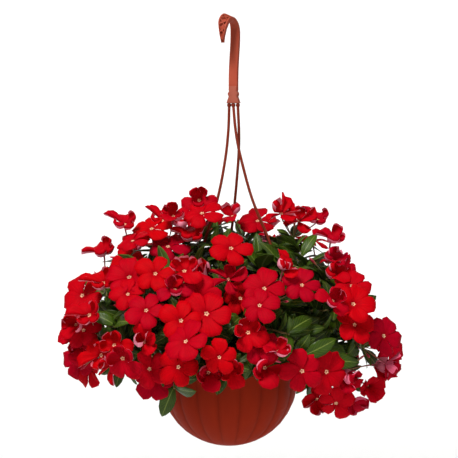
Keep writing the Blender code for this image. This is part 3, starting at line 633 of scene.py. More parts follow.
# %% Stems and shoots
TRIALS = 60
BOWL_ROOM = 0.003


def near_pairs(knobs):
    """Heads in pairs: two pairs trade partners for as long as that brings them closer."""
    order = sorted(knobs, key=lambda n: math.atan2(knobs[n][0].y, knobs[n][0].x))
    pairs = [order[i : i + 2] for i in range(0, len(order), 2)]

    def spread(a, b):
        return (knobs[a][0] - knobs[b][0]).length

    traded = True
    while traded:
        traded = False
        for one, two in itertools.combinations(pairs, 2):
            (a, b), (c, d) = one, two
            now = spread(a, b) + spread(c, d) - 1e-6
            if spread(a, c) + spread(b, d) < now:
                one[:], two[:] = (a, c), (b, d)
                traded = True
            elif spread(a, d) + spread(b, c) < now:
                one[:], two[:] = (a, d), (b, c)
                traded = True
    return pairs


def jitter(rng, reach):
    """A small random step."""
    return Vector([rng.uniform(-reach, reach) for _ in range(3)])


def clear_of_bowl(p, room=0.0015):
    """Outside the bowl and its flange, or above its soil."""
    across = math.hypot(p.x, p.y)
    if p.z > FLANGE_Z + FLANGE_THICKNESS + room:
        return True
    if p.z > FLANGE_Z - room:
        return across > FLANGE_RADIUS + room
    return across > bowl_radius(max(p.z, 0.0)) + room


def forked(pair, middle, loose, side_step):
    """A trunk out of the soil that forks to the knobs of two heads, loosely drawn."""
    heading = Vector((middle.x, middle.y, 0)) + jitter(rng, loose)
    heading = Vector((heading.x, heading.y, 0)).normalized()
    spread = min(1.0, max(0.0, (0.26 - middle.z) / 0.15))
    foot = heading * (0.030 + 0.042 * spread + 0.014 * side_step)
    fork_z = max(0.150, SOIL_EDGE_Z + 0.35 * (middle.z - SOIL_EDGE_Z))
    fork = foot * 1.15 + Vector((0, 0, fork_z)) + jitter(rng, loose)
    base = foot + Vector((0, 0, SOIL_EDGE_Z - STEM_DEPTH))
    twigs = []
    for n in pair:
        knob, out = knobs[n]
        tip = knob - out * (KNOB_RADIUS + 2 * GAP)
        lift = Vector((0, 0, 0.030 if knob.z < 0.17 else 0.012))
        rise = fork + Vector((0, 0, 0.045)) + heading * 0.012 + jitter(rng, loose)
        lead = tip - out * 0.030 + lift + jitter(rng, loose)
        twigs.append(interpolate_bezier(fork, rise, lead, tip, TWIG_POINTS))
    return [base, foot + Vector((0, 0, SOIL_CROWN_Z + 0.008)), fork], twigs


knobs = {}
for name, places in spots.items():
    middle = sum(places, Vector()) / len(places)
    out = sum((facing_of(name, p) for p in places), Vector()).normalized()
    knobs[name] = (middle - out * KNOB_DEPTH, out)
stems = []
for i, pair in enumerate(near_pairs(knobs)):
    owner = f"stem_{i + 1:02d}"
    middle = sum((knobs[n][0] for n in pair), Vector()) / len(pair)
    for attempt in range(TRIALS):
        trunk, twigs = forked(pair, middle, 0.002 + 0.0012 * attempt, i % 2)
        shapes = [tube_shape(trunk, STEM_RADIUS + CLEARANCE, 6)]
        shapes += [tube_shape(twig, TWIG_RADIUS + CLEARANCE, 6) for twig in twigs]
        off_bowl = all(clear_of_bowl(p, BOWL_ROOM) for twig in twigs for p in twig)
        if off_bowl and all(space.clear(s) for s in shapes):
            break
    for s in shapes:
        space.add(s, owner)
    for n in pair:
        knob, out = knobs[n]
        space.add(tube_shape([knob - out * 0.003, knob + out * 0.003], KNOB_RADIUS + 0.0002, 6), n)
    stems.append({"name": owner, "trunk": trunk, "twigs": twigs, "shoots": []})

# Each leafy shoot leaves the fork of the nearest stem that has none yet
for x, z, depth in SHOOTS:
    tip = spot_at(x, z, depth)
    tip -= outward(tip) * 0.030
    stem = min((s for s in stems if not s["shoots"]), key=lambda s: (s["trunk"][-1] - tip).length)
    fork = stem["trunk"][-1]
    for attempt in range(TRIALS):
        loose = 0.003 + 0.0012 * attempt
        rise = fork + Vector((0, 0, 0.040)) + jitter(rng, loose)
        end = tip + jitter(rng, loose)
        lead = end.lerp(fork, 0.3) + Vector((0, 0, 0.020)) + jitter(rng, loose)
        shoot = interpolate_bezier(fork, rise, lead, end, SHOOT_POINTS)
        shape = tube_shape(shoot, TWIG_RADIUS + CLEARANCE, 6)
        if space.clear(shape, (stem["name"],)) and all(clear_of_bowl(p, BOWL_ROOM) for p in shoot):
            space.add(shape, stem["name"])
            stem["shoots"].append(shoot)
            break
print(len(stems), "stems and", sum(len(s["shoots"]) for s in stems), "shoots")

# %% Blooms
BLOOM_TRIALS = 320
SLIDE = 0.030
SHRINK_AFTER = 120
CROWD_AFTER = 160


def loose_bloom(name, place, cup, attempt):
    """A bloom near its place: it slides, turns and at last shrinks as the attempts go on."""
    loose = min(1.0, 0.2 + attempt / 100)
    centre = place + (place - SIGHT_POINT).normalized() * rng.uniform(-1, 1) * SLIDE * loose
    facing = (facing_of(name, place) + jitter(rng, 0.42 * loose)).normalized()
    shrink = 1.0 - 0.30 * max(0.0, (attempt - SHRINK_AFTER) / 140)
    turn = facing.to_track_quat("Z", "Y").to_matrix().to_4x4()
    roll = Matrix.Rotation(rng.uniform(0, math.tau / PETALS), 4, "Z")
    return {
        "frame": Matrix.Translation(centre) @ turn @ roll,
        "diameter": BLOOM_DIAMETER * rng.uniform(0.95, 1.09) * shrink * (1 - cup / 6),
        "cup": cup,
        "root": knobs[name][0],
    }


def fits(shape, friends, kin=None):
    """True if a leaf, bud or bloom is clear of the bowl and of everything but its friends."""
    return all(clear_of_bowl(p) for p in shape[0]) and space.clear(shape, friends, kin)


heads = {}
for name, places in spots.items():
    knob, out = knobs[name]
    heads[name] = {"knob": knob, "out": out, "blooms": []}
    mates = f"{name}.bloom"
    for place, cup in zip(places, cups[name]):
        for attempt in range(BLOOM_TRIALS):
            bloom = loose_bloom(name, place, cup, attempt)
            shape = bloom_shape(bloom, CLEARANCE)
            # Late in the search a bloom may cross the others of its own head
            friends = (name, mates) if attempt > CROWD_AFTER else (name,)
            if fits(shape, friends, mates):
                space.add(shape, mates)
                heads[name]["blooms"].append(bloom)
                break
print(sum(len(head["blooms"]) for head in heads.values()), "blooms found their places")

# %% Big leaves
LEAF_TRIALS = 36


def leaf_on(rng, root, axis, up, length, width):
    """A leaf's place and size: its length runs along axis, and its face looks up."""
    axis = axis.normalized()
    up = (up - axis * up.dot(axis)).normalized()
    turn = Matrix((axis, up.cross(axis), up)).transposed().to_4x4()
    frame = Matrix.Translation(root) @ turn
    return {"frame": frame, "length": length, "width": width, "droop": rng.choice(LEAF_DROOPS)}


def joint_on(path, share):
    """The place so far along a path, which way the path runs there, and a direction across it."""
    at = share * (len(path) - 1)
    i = min(int(at), len(path) - 2)
    root = path[i].lerp(path[i + 1], at - i)
    along = (path[i + 1] - path[i]).normalized()
    return i, root, along, along.cross(outward(root)).normalized()


def big_leaf(root, along, side, swing, attempt):
    """A leaf swung further from its place as the attempts go on."""
    loose = 0.15 + attempt / 30
    swing += rng.uniform(-1, 1) * loose * 1.6
    axis = Matrix.Rotation(swing, 3, along) @ side + along * rng.uniform(0.35, 1.1)
    up = outward(root) + jitter(rng, 0.5 * loose)
    grow = rng.uniform(0.85, 1.15) * (1.0 - 0.3 * attempt / LEAF_TRIALS)
    return leaf_on(rng, root, axis, up, LEAF_LENGTH * grow, LEAF_WIDTH * grow)


def first_clear(leaves, clearance, owner, friends):
    """The first of the leaves that crosses nothing, in a list, or an empty list."""
    for leaf in leaves:
        shape = leaf_shape(leaf, clearance)
        if fits(shape, friends):
            space.add(shape, owner)
            return [leaf]
    return []


for stem in stems:
    stem["leaves"] = []
    carriers = list(zip(stem["twigs"], LEAF_PAIRS))
    if stem["shoots"]:
        carriers = [(twig, LEAF_PAIRS[0]) for twig in stem["twigs"]] + [(stem["shoots"][0], SHOOT_PAIRS)]
    for twig, shares in carriers:
        for pair, share in enumerate(shares):
            i, root, along, side = joint_on(twig, share)
            mates = f"{stem['name']}.{pair}.{i}"
            for sign in (1, -1):
                tries = (big_leaf(root, along, side * sign, pair * 1.2, t) for t in range(LEAF_TRIALS))
                stem["leaves"] += first_clear(tries, CLEARANCE, mates, (stem["name"], mates))
print(sum(len(stem["leaves"]) for stem in stems), "big leaves found their places")

# %% [markdown]
# ## Small leaves and buds
#
# Between the big leaves a periwinkle carries many smaller ones, in crossed pairs along every twig, and
# each head has a collar of young leaves with a rolled bud or two. They are too many and too small for
# the solids, so they are planned here, with the same test for crossings. A pair that finds no room in
# a few trials is left out, as a real shoot drops it in deep shade.

# %% Small leaves along the twigs
SMALL_LEAF_SPACING = 0.0075
SMALL_LEAF_TRIALS = 7
SMALL_CLEARANCE = 0.0002
extra_rng = random.Random(SEED + 1)


def try_small(make, owner, *friends):
    """Makes a small leaf up to a few times, looser each time, and keeps the first that is clear."""
    tries = (make(trial / SMALL_LEAF_TRIALS) for trial in range(SMALL_LEAF_TRIALS))
    return first_clear(tries, SMALL_CLEARANCE, owner, friends)


def twig_leaf(root, along, side, swing, sign, loose):
    """One leaf of a crossed pair on a twig."""
    swing += extra_rng.uniform(-1, 1) * (0.4 + loose)
    axis = Matrix.Rotation(swing, 3, along) @ side * sign + along * extra_rng.uniform(0.2, 0.9)
    up = outward(root) + jitter(extra_rng, 0.4 + 0.4 * loose)
    grown = extra_rng.uniform(0.026, 0.044) * (1 - 0.35 * loose)
    return leaf_on(extra_rng, root, axis, up, grown, grown * extra_rng.uniform(0.40, 0.50))


def paths_of(stem):
    """The stem above the soil, its twigs and its shoots."""
    return [stem["trunk"][1:], *stem["twigs"], *stem["shoots"]]


for stem in stems:
    stem["small_leaves"], stem["sprays"] = [], []
    for path in paths_of(stem):
        length = sum((b - a).length for a, b in zip(path, path[1:]))
        steps = max(1, int(length / SMALL_LEAF_SPACING))
        for node in range(1, steps + 1):
            _, root, along, side = joint_on(path, (node - 0.3) / steps)
            for sign in (1, -1):
                make = partial(twig_leaf, root, along, side, node * math.pi / 2, sign)
                stem["small_leaves"] += try_small(make, f"{stem['name']}.small", stem["name"])
print(sum(len(stem["small_leaves"]) for stem in stems), "small leaves")

# %% Side sprays in the gaps
SPRAY_TRIALS = 2600
SPRAY_ROOM = 0.021
SPRAY_REACH = 0.095
SPRAY_TWIG_RADIUS = 0.0012


def nearest_twig(tip):
    """The stem whose twigs pass nearest to a place, the nearest point on them, and how far it is."""
    found = (None, None, SPRAY_REACH)
    for stem in stems:
        for path in paths_of(stem):
            for (a, b), share in itertools.product(zip(path, path[1:]), (0.15, 0.5, 0.85)):
                point = a.lerp(b, share)
                if (point - tip).length < found[2]:
                    found = (stem, point, (point - tip).length)
    return found


def spray_leaf(root, along, side, turn, share, loose):
    """One leaf of a side spray, which leans forward more the nearer it is to the tip."""
    radial = Matrix.Rotation(turn + extra_rng.uniform(-1, 1) * (0.3 + loose), 3, along) @ side
    axis = radial + along * extra_rng.uniform(0.2, 0.5 + share)
    grown = extra_rng.uniform(0.028, 0.048) * (1 - 0.4 * loose)
    up = outward(root) + jitter(extra_rng, 0.5 + 0.7 * abs(outward(root).z))
    return leaf_on(extra_rng, root, axis, up, grown, grown * extra_rng.uniform(0.38, 0.48))


def leaves_of_spray(stem, path):
    """Pairs of leaves up a side spray, and a tuft at its tip."""
    made = []
    along = (path[-1] - path[0]).normalized()
    side = along.orthogonal().normalized()
    for share in (0.35, 0.6, 0.8, 1.0, 1.0):
        root = path[0].lerp(path[1], share * 2) if share < 0.5 else path[1].lerp(path[2], share * 2 - 1)
        start = extra_rng.uniform(0, math.tau)
        for half_turn in (0, math.pi):
            make = partial(spray_leaf, root, along, side, start + half_turn, share)
            made += try_small(make, f"{stem['name']}.small", stem["name"])
    return made


# Thin side twigs grow from the nearest stem to wherever the plant's outer half has a gap
tips = []
for _ in range(SPRAY_TRIALS):
    heading = Vector([extra_rng.gauss(0, 1) for _ in range(3)]).normalized()
    reach = extra_rng.uniform(0.42, 0.78 + 0.16 * max(0.0, heading.z))
    tip = DOME_CENTRE + Vector([heading[i] * DOME[i] * reach for i in range(3)])
    if tip.z < 0.085 or not clear_of_bowl(tip, 0.012) or any((tip - t).length < SPRAY_ROOM for t in tips):
        continue
    stem, base, far = nearest_twig(tip)
    if stem is None or far < 0.012:
        continue
    path = [base, base.lerp(tip, 0.5) + outward(base) * far * 0.15, tip]
    shape = tube_shape(path, SPRAY_TWIG_RADIUS, 5)
    if not space.clear(shape, (stem["name"], f"{stem['name']}.small")):
        continue
    leaves = leaves_of_spray(stem, path)
    if len(leaves) >= 2:
        space.add(shape, stem["name"])
        stem["sprays"].append(path)
        stem["small_leaves"] += leaves
        tips.append(tip)
print(len(tips), "side sprays;", sum(len(stem["small_leaves"]) for stem in stems), "small leaves now")

# %% Collars of young leaves and buds on the heads
COLLAR_LEAVES = 6
BUDS = 2
BUD_TRIALS = 12
BUD_LENGTH = 0.016
BUD_RADIUS = 0.0019


def collar_leaf(head, side, turn, loose):
    """A young leaf beside the knob."""
    swing = turn + extra_rng.uniform(-0.5, 0.5)
    radial = Matrix.Rotation(swing, 3, head["out"]) @ side
    axis = radial + head["out"] * extra_rng.uniform(-0.2, 0.9)
    grown = extra_rng.uniform(0.022, 0.040) * (1 - 0.4 * loose)
    root = head["knob"] + radial * 0.004 - head["out"] * 0.002
    up = head["out"] + jitter(extra_rng, 0.3)
    return leaf_on(extra_rng, root, axis, up, grown, grown * 0.42)


def buds_of(name, head):
    """Rolled buds that stand out between the blooms, each on a short stalk."""
    made = []
    for _ in range(BUDS):
        for trial in range(BUD_TRIALS):
            lean = (head["out"] + jitter(extra_rng, 0.75)).normalized()
            base = head["knob"] + lean * extra_rng.uniform(0.012, 0.030)
            tip = base + lean * BUD_LENGTH
            shape = tube_shape([head["knob"] + lean * 0.006, tip], BUD_RADIUS + SMALL_CLEARANCE, 6)
            if fits(shape, (name, f"{name}.collar")):
                space.add(shape, f"{name}.bud")
                made.append({"base": base, "lean": lean, "grown": extra_rng.uniform(0.8, 1.1)})
                break
    return made


for name, head in heads.items():
    side = head["out"].orthogonal().normalized()
    head["collar"] = []
    for k in range(COLLAR_LEAVES):
        make = partial(collar_leaf, head, side, math.tau * (k / COLLAR_LEAVES))
        head["collar"] += try_small(make, f"{name}.collar", name, f"{name}.collar")
    head["buds"] = buds_of(name, head)
print(sum(len(h["collar"]) for h in heads.values()), "young leaves and", end=" ")
print(sum(len(h["buds"]) for h in heads.values()), "buds")

# %% [markdown]
# ## Finishes
#
# Every finish starts from what the real surface is. The plant's finishes follow the surface itself:
# each petal and leaf carries two values at every point, `along`, from its base to its tip, and
# `across`, from one edge over the middle to the other. Veins, midribs and the eye are drawn in those
# two values, so they bend with the blade. A third value, `tint`, differs from bloom to bloom and leaf
# to leaf. Constant values are set on the shader's own sockets.

# %% What several finishes share
def surface_values(add):
    """The three values that each petal and leaf carries."""
    return [add("ShaderNodeAttribute", attribute_name=n).outputs["Fac"] for n in ("along", "across", "tint")]


def streaks(add, along, across, tint):
    """Noise drawn out from base to tip like fine veins, with its own pattern for each tint."""
    x = add("ShaderNodeMath", {0: across, 1: PETAL_VEINS}, operation="MULTIPLY")
    y = add("ShaderNodeMath", {0: along, 1: 1.2}, operation="MULTIPLY")
    z = add("ShaderNodeMath", {0: tint, 1: 37.0}, operation="MULTIPLY")
    place = add("ShaderNodeCombineXYZ", {"X": x, "Y": y, "Z": z})
    return add("ShaderNodeTexNoise", {"Vector": place, "Scale": 1.0, "Detail": 3.0})


def laid(add, value, start, end, first, last, under, over):
    """Lays one colour over another: from first to last of it, as the value runs from start to end."""
    reach = {"Value": value, "From Min": start, "From Max": end, "To Min": first, "To Max": last}
    share = add("ShaderNodeMapRange", reach)
    return add("ShaderNodeMix", {0: share, 6: under, 7: over}, data_type="RGBA")


def shaded(add, colour, value, start, end, dark, bright):
    """Makes a colour darker or brighter, as the value runs from start to end."""
    reach = {"Value": value, "From Min": start, "From Max": end, "To Min": dark, "To Max": bright}
    shade = add("ShaderNodeMapRange", reach)
    return add("ShaderNodeMix", {0: 1.0, 6: colour, 7: shade}, data_type="RGBA", blend_type="MULTIPLY")


def speckled(add, scale, detail, dark, light):
    """Specks all over the object: their noise, and the colour it gives."""
    place = add("ShaderNodeTexCoord").outputs["Object"]
    specks = add("ShaderNodeTexNoise", {"Vector": place, "Scale": scale, "Detail": detail})
    return specks, add("ShaderNodeMix", {0: specks, 6: dark, 7: light}, data_type="RGBA")


print("every petal and leaf carries:", "along, across, tint")

# %% [markdown]
# A periwinkle petal is thin living tissue whose skin is a carpet of tiny cones: it looks matt and
# velvety, with a soft pale sheen at grazing angles and no mirror gloss. The red is even, a little
# more crimson on some blooms, with fine darker veins that fan out from the eye. The eye is a small
# five-pointed star, peach yellow round a dark pinhole.

# %% Petal, upper face
PETAL_VEINS = 8.0
petal, shader, add = new_finish(
    "periwinkle petal, velvety upper skin",
    {
        "Roughness": 0.62,
        "IOR": 1.40,
        "Specular IOR Level": 0.05,
        "Sheen Weight": 0.10,
        "Sheen Roughness": 0.45,
        "Sheen Tint": "#b00818",
        "Subsurface Weight": 0.10,
        "Subsurface Radius": (0.004, 0.0006, 0.0006),
        "Subsurface Scale": 1.0,
    },
)
along, across, tint = surface_values(add)
red = add("ShaderNodeMix", {0: tint, 6: "#ac001e", 7: "#c8000a"}, data_type="RGBA")
veins = streaks(add, along, across, tint)
veined = shaded(add, red, veins, 0.30, 0.62, 0.82, 1.0)
# Towards the eye the red is deeper
deeper = laid(add, along, 0.10, 0.42, 0.55, 0.0, veined, "#98000e")
# The eye's edge lies further out in the middle of each petal, which makes the star
to_edge = add("ShaderNodeMath", {0: across}, operation="ABSOLUTE")
eye_reach = {"Value": to_edge, "From Min": 0.0, "From Max": 0.8, "To Min": 0.070, "To Max": 0.050}
star = add("ShaderNodeMapRange", eye_reach)
star_share = add("ShaderNodeMath", {0: along, 1: star}, operation="DIVIDE")
eyed = laid(add, star_share, 0.80, 1.15, 1.0, 0.0, deeper, "#ffcaa0")
# Painted shade: the throat turns darker towards its foot, deep in the pinhole
throated = laid(add, along, -0.15, -0.07, 1.0, 0.0, eyed, "#c06428")
relief = add("ShaderNodeBump", {"Strength": 0.25, "Distance": 0.0006, "Height": veins})
feed(shader, {"Base Color": throated, "Normal": relief})
print(petal.name)

# %% [markdown]
# The underside of the petal has less pigment: a dusty pink that deepens to red along the veins. It
# shows wherever an edge curls up.

# %% Petal, underside
petal_under, shader, add = new_finish(
    "periwinkle petal, dusty underside",
    {
        "Roughness": 0.6,
        "IOR": 1.40,
        "Specular IOR Level": 0.08,
        "Sheen Weight": 0.05,
        "Sheen Roughness": 0.5,
        "Sheen Tint": "#ff90a8",
    },
)
along, across, tint = surface_values(add)
pink = add("ShaderNodeMix", {0: tint, 6: "#fc6e90", 7: "#ffacc0"}, data_type="RGBA")
veins = streaks(add, along, across, tint)
feed(shader, {"Base Color": laid(add, veins, 0.35, 0.65, 0.3, 0.0, pink, "#c2183c")})
print(petal_under.name)

# %% [markdown]
# A rolled bud shows the outsides of its petals, with the same skin a little smoother. It ripens from
# straw colour at its foot to crimson.

# %% Rolled bud
bud_skin, shader, add = new_finish(
    "periwinkle bud, rolled petals", {"Roughness": 0.55, "IOR": 1.40, "Specular IOR Level": 0.35}
)
along, across, tint = surface_values(add)
reach = {"Value": along, "From Min": 0.05, "From Max": 0.45, "To Min": 0.0, "To Max": 1.0}
ripening = add("ShaderNodeMapRange", reach)
skin = add("ShaderNodeMix", {0: tint, 6: "#d64a66", 7: "#c80c24"}, data_type="RGBA")
ripe = add("ShaderNodeMix", {0: ripening, 6: "#c8a070", 7: skin}, data_type="RGBA")
feed(shader, {"Base Color": ripe})
print(bud_skin.name)

# %% [markdown]
# A periwinkle leaf is leathery, with a smooth waxy skin: a satin gloss over a dark green, a pale
# yellow-green midrib, and side veins that leave it like the barbs of a feather. The underside is
# paler and matt.

# %% Leaf, upper face
LEAF_SIDE_VEINS = 9.0
leaf_top, shader, add = new_finish(
    "periwinkle leaf, waxy upper skin",
    {"Roughness": 0.38, "IOR": 1.45, "Specular IOR Level": 0.20, "Coat Weight": 0.05, "Coat Roughness": 0.3},
)
along, across, tint = surface_values(add)
place = add("ShaderNodeTexCoord").outputs["Object"]
blotches = add("ShaderNodeTexNoise", {"Vector": place, "Scale": 70.0, "Detail": 2.0})
# For leaves, tint also carries painted shade: its low end is the dark green of leaves deep inside
green = add("ShaderNodeMix", {0: tint, 6: "#122002", 7: "#3e5809"}, data_type="RGBA")
mottled = shaded(add, green, blotches, 0.3, 0.7, 0.78, 1.12)
from_midrib = add("ShaderNodeMath", {0: across}, operation="ABSOLUTE")
# A side vein runs outwards and forwards: its phase falls towards the edge as it rises along the leaf
outwards = add("ShaderNodeMath", {0: from_midrib, 1: 0.30}, operation="MULTIPLY")
phase = add("ShaderNodeMath", {0: along, 1: outwards}, operation="SUBTRACT")
turns = add("ShaderNodeMath", {0: phase, 1: LEAF_SIDE_VEINS * math.tau}, operation="MULTIPLY")
wave = add("ShaderNodeMath", {0: turns}, operation="SINE")
with_veins = laid(add, wave, 0.80, 1.0, 0.0, 0.28, mottled, "#6c8432")
with_midrib = laid(add, from_midrib, 0.03, 0.10, 0.50, 0.0, with_veins, "#8fa048")
quilting = add("ShaderNodeMath", {0: wave, 1: -0.5}, operation="MULTIPLY")
relief = add("ShaderNodeBump", {"Strength": 0.35, "Distance": 0.0004, "Height": quilting})
feed(shader, {"Base Color": with_midrib, "Normal": relief})
print(leaf_top.name)

# %% Leaf, underside
leaf_under, shader, add = new_finish(
    "periwinkle leaf, matt underside", {"Roughness": 0.6, "IOR": 1.45, "Specular IOR Level": 0.15}
)
along, across, tint = surface_values(add)
pale = add("ShaderNodeMix", {0: tint, 6: "#3a5018", 7: "#5f7830"}, data_type="RGBA")
from_midrib = add("ShaderNodeMath", {0: across}, operation="ABSOLUTE")
feed(shader, {"Base Color": laid(add, from_midrib, 0.05, 0.14, 0.7, 0.0, pale, "#8fa060")})
print(leaf_under.name)

# %% [markdown]
# Stems and bloom tubes have a soft skin with fine hairs, which gives the eye a faint sheen. They are
# green, and reddish where their value `warmth` is high.

# %% Stems and bloom tubes
hairy = {"Roughness": 0.55, "IOR": 1.45, "Sheen Weight": 0.2, "Sheen Roughness": 0.4}
stem_skin, shader, add = new_finish("periwinkle stem, fine hairs", hairy)
warmth = add("ShaderNodeAttribute", attribute_name="warmth").outputs["Fac"]
_, young = speckled(add, 120.0, 2.0, "#5c7034", "#8a9a4a")
feed(shader, {"Base Color": add("ShaderNodeMix", {0: warmth, 6: young, 7: "#b8455a"}, data_type="RGBA")})
print(stem_skin.name)

# %% [markdown]
# Bowl and hanger are injection-moulded polypropylene, pigmented right through. The mould leaves a
# fine satin grain, so highlights are broad, and faint flow marks run down the wall. The grain is
# finer than the picture can show, so it is drawn at about one millimetre. The bowl's grooves are
# painted darker, as painted shade. The hanger is moulded from a lighter brick-red batch, with a
# little more gloss. Its hub is painted paler, as painted light.

# %% Plastics
GRAIN_SIZE = 0.0011


def moulded_plastic(name, dark, light, roughness, flow):
    """Pigmented polypropylene with a fine mould grain and faint flow marks, and painted shade in grooves."""
    made, shader, add = new_finish(name, {"IOR": 1.49, "Specular IOR Level": 0.05})
    place = add("ShaderNodeTexCoord").outputs["Object"]
    stretched = add("ShaderNodeMapping", {"Vector": place, "Scale": flow})
    marks = add("ShaderNodeTexNoise", {"Vector": stretched, "Scale": 1.0, "Detail": 4.0})
    colour = add("ShaderNodeMix", {0: marks, 6: dark, 7: light}, data_type="RGBA")
    groove = add("ShaderNodeAttribute", attribute_name="groove").outputs["Fac"]
    # Painted shade: the colour darkens deep in the bowl's grooves
    groove_shaded = laid(add, groove, 0.25, 0.95, 0.0, 0.25, colour, "#2c0a04")
    grain = add("ShaderNodeTexNoise", {"Vector": place, "Scale": 1 / GRAIN_SIZE, "Detail": 1.0})
    reach = {"From Min": 0.3, "From Max": 0.7, "To Min": roughness - 0.05, "To Max": roughness + 0.06}
    dull = add("ShaderNodeMapRange", {"Value": marks, **reach})
    relief = add("ShaderNodeBump", {"Strength": 0.12, "Distance": 0.0003, "Height": grain})
    feed(shader, {"Base Color": groove_shaded, "Roughness": dull, "Normal": relief})
    return made


terracotta = moulded_plastic("terracotta polypropylene, moulded", "#862008", "#96280e", 0.56, (60, 60, 9))
brick = moulded_plastic("brick polypropylene, moulded", "#9c402e", "#b4553f", 0.4, (90, 90, 30))
leg_plastic = moulded_plastic("brick polypropylene, moulded rod", "#742a1a", "#863424", 0.4, (90, 90, 30))
# Painted light: the hub is a paler copy of the brick plastic
lit_hub_plastic = moulded_plastic("brick polypropylene, scuffed hub", "#9c5040", "#ac5e4c", 0.55, (90, 90, 30))
print(terracotta.name, "/", brick.name, "/", leg_plastic.name, "/", lit_hub_plastic.name)

# %% [markdown]
# Potting mix is peat and fine bark, dark and quite without gloss when moist, with white grains of
# perlite: volcanic glass that was popped like corn.

# %% Potting mix
peat, shader, add = new_finish("potting mix, moist peat", {"Roughness": 0.95, "Specular IOR Level": 0.2})
crumbs, brown = speckled(add, 420.0, 5.0, "#1c120b", "#4a3424")
relief = add("ShaderNodeBump", {"Strength": 0.8, "Distance": 0.001, "Height": crumbs})
feed(shader, {"Base Color": brown, "Normal": relief})
bark, shader, add = new_finish("bark crumb, broken", {"Roughness": 0.85, "Specular IOR Level": 0.3})
feed(shader, {"Base Color": speckled(add, 300.0, 3.0, "#2e1c10", "#6b4a2e")[1]})
popped = {"Roughness": 0.8, "Specular IOR Level": 0.3}
perlite, shader, add = new_finish("perlite grain, popped glass", popped)
feed(shader, {"Base Color": speckled(add, 900.0, 2.0, "#bdb8ac", "#f4f1ea")[1]})
print(peat.name, "/", bark.name, "/", perlite.name)

# %% [markdown]
# ## One petal, one leaf, one bud
#
# A petal is a thin curved sheet. It could be sculpted, but a formula gives every variety from a few
# numbers, with an even mesh and the two surface values for the finish. The grid runs out from the eye
# in rows and round the flower in columns: the reach of each column makes the round lobe and the notch,
# and the height makes the pinwheel twist, the wavy rim and the curled edge. An underside half a
# millimetre below closes it.

# %% Bodies and sheets
SHEET = 0.0005


def new_body(name, points, faces, finish=None, weld=None, open_sheet=False, **values):
    """A mesh object whose faces look outwards, with values at its points and a finish on its faces."""
    mesh = bpy.data.meshes.new(name)
    mesh.from_pydata(points, [], faces)
    for label, numbers in values.items():
        mesh.attributes.new(label, "FLOAT", "POINT").data.foreach_set("value", numbers)
    if finish is not None:
        mesh.attributes.new("finish", "INT", "FACE").data.foreach_set("value", finish)
    if not open_sheet:
        work = bmesh.new()
        work.from_mesh(mesh)
        if weld:
            bmesh.ops.remove_doubles(work, verts=work.verts, dist=weld)
        bmesh.ops.recalc_face_normals(work, faces=work.faces)
        work.to_mesh(mesh)
        work.free()
    return bpy.data.objects.new(name, mesh)


def closed_sheet(name, rows, columns, place, faces_up):
    """A grid of points with an underside: place gives a point from its row and column shares."""
    grid = list(itertools.product(rows, columns))
    points = [place(s, t) - Vector((0, 0, SHEET * side)) for side in (0, 1) for s, t in grid]
    along, across = zip(*grid * 2)
    wide, deep = len(columns), len(rows)
    under = wide * deep
    faces = []
    for i, j in itertools.product(range(deep - 1), range(wide - 1)):
        a = i * wide + j
        faces.append((a, a + wide, a + wide + 1, a + 1))
        faces.append((a + under, a + 1 + under, a + wide + 1 + under, a + wide + under))
    finish = [faces_up, faces_up + 1] * (len(faces) // 2)
    edge = [*range(wide), *range(2 * wide - 1, under, wide)]
    edge += [*range(under - 2, under - wide - 1, -1), *range(under - 2 * wide, 0, -wide)]
    faces += [(a, b, b + under, a + under) for a, b in zip(edge, edge[1:] + edge[:1])]
    finish += [faces_up] * len(edge)
    return new_body(name, points, faces, finish, along=along, across=across)


def new_store(name, objects):
    """A collection that isn't part of the scene, for shapes that the trees of nodes pick from."""
    store = bpy.data.collections.new(name)
    for obj in objects:
        store.objects.link(obj)
    return store


print("a petal is", SHEET / MM, "mm thick")

# %% Petals
PETAL_FINISH = 0
PETAL_ROWS = (0.0, 0.28, 0.53, 0.78, 1.0)
PETAL_COLUMNS = (-1.0, -0.93, -0.77, -0.45, 0.0, 0.45, 0.77, 0.93, 1.0)
EYE_RADIUS = 0.0009
PETAL_SPREAD = 0.69
TIP_CURL_FROM = 0.40
SIDE_CURL_FROM = -0.25

# Each petal: how deep the notch is and how sharp its corners, the pinwheel lift and the height of the
# ruffles in millimetres, and the angles through which its tip and one of its sides curl, in radians
PETAL_KINDS = {
    "broad": (0.33, 3.8, 1.9, 1.4, -0.40, 0.0),
    "parted": (0.48, 2.9, 1.6, 1.5, -0.65, 0.0),
    "rolled": (0.30, 3.6, 1.6, 1.0, 1.9, 1.7),
    "side_curled": (0.34, 3.6, 1.6, 0.9, -0.20, 2.9),
    "tip_curled": (0.36, 3.4, 1.4, 1.3, 2.3, 0.5),
    "wavy": (0.37, 3.4, 1.9, 2.5, -0.60, 0.6),
}


def curled(at, start, end, angle):
    """Where a point of a strip ends up that curls through this angle between start and end, and how high."""
    past = (at - start) / (end - start)
    if past <= 0 or angle == 0:
        return at, 0.0
    radius = (end - start) / angle
    return start + math.sin(past * angle) * radius, (1 - math.cos(past * angle)) * radius


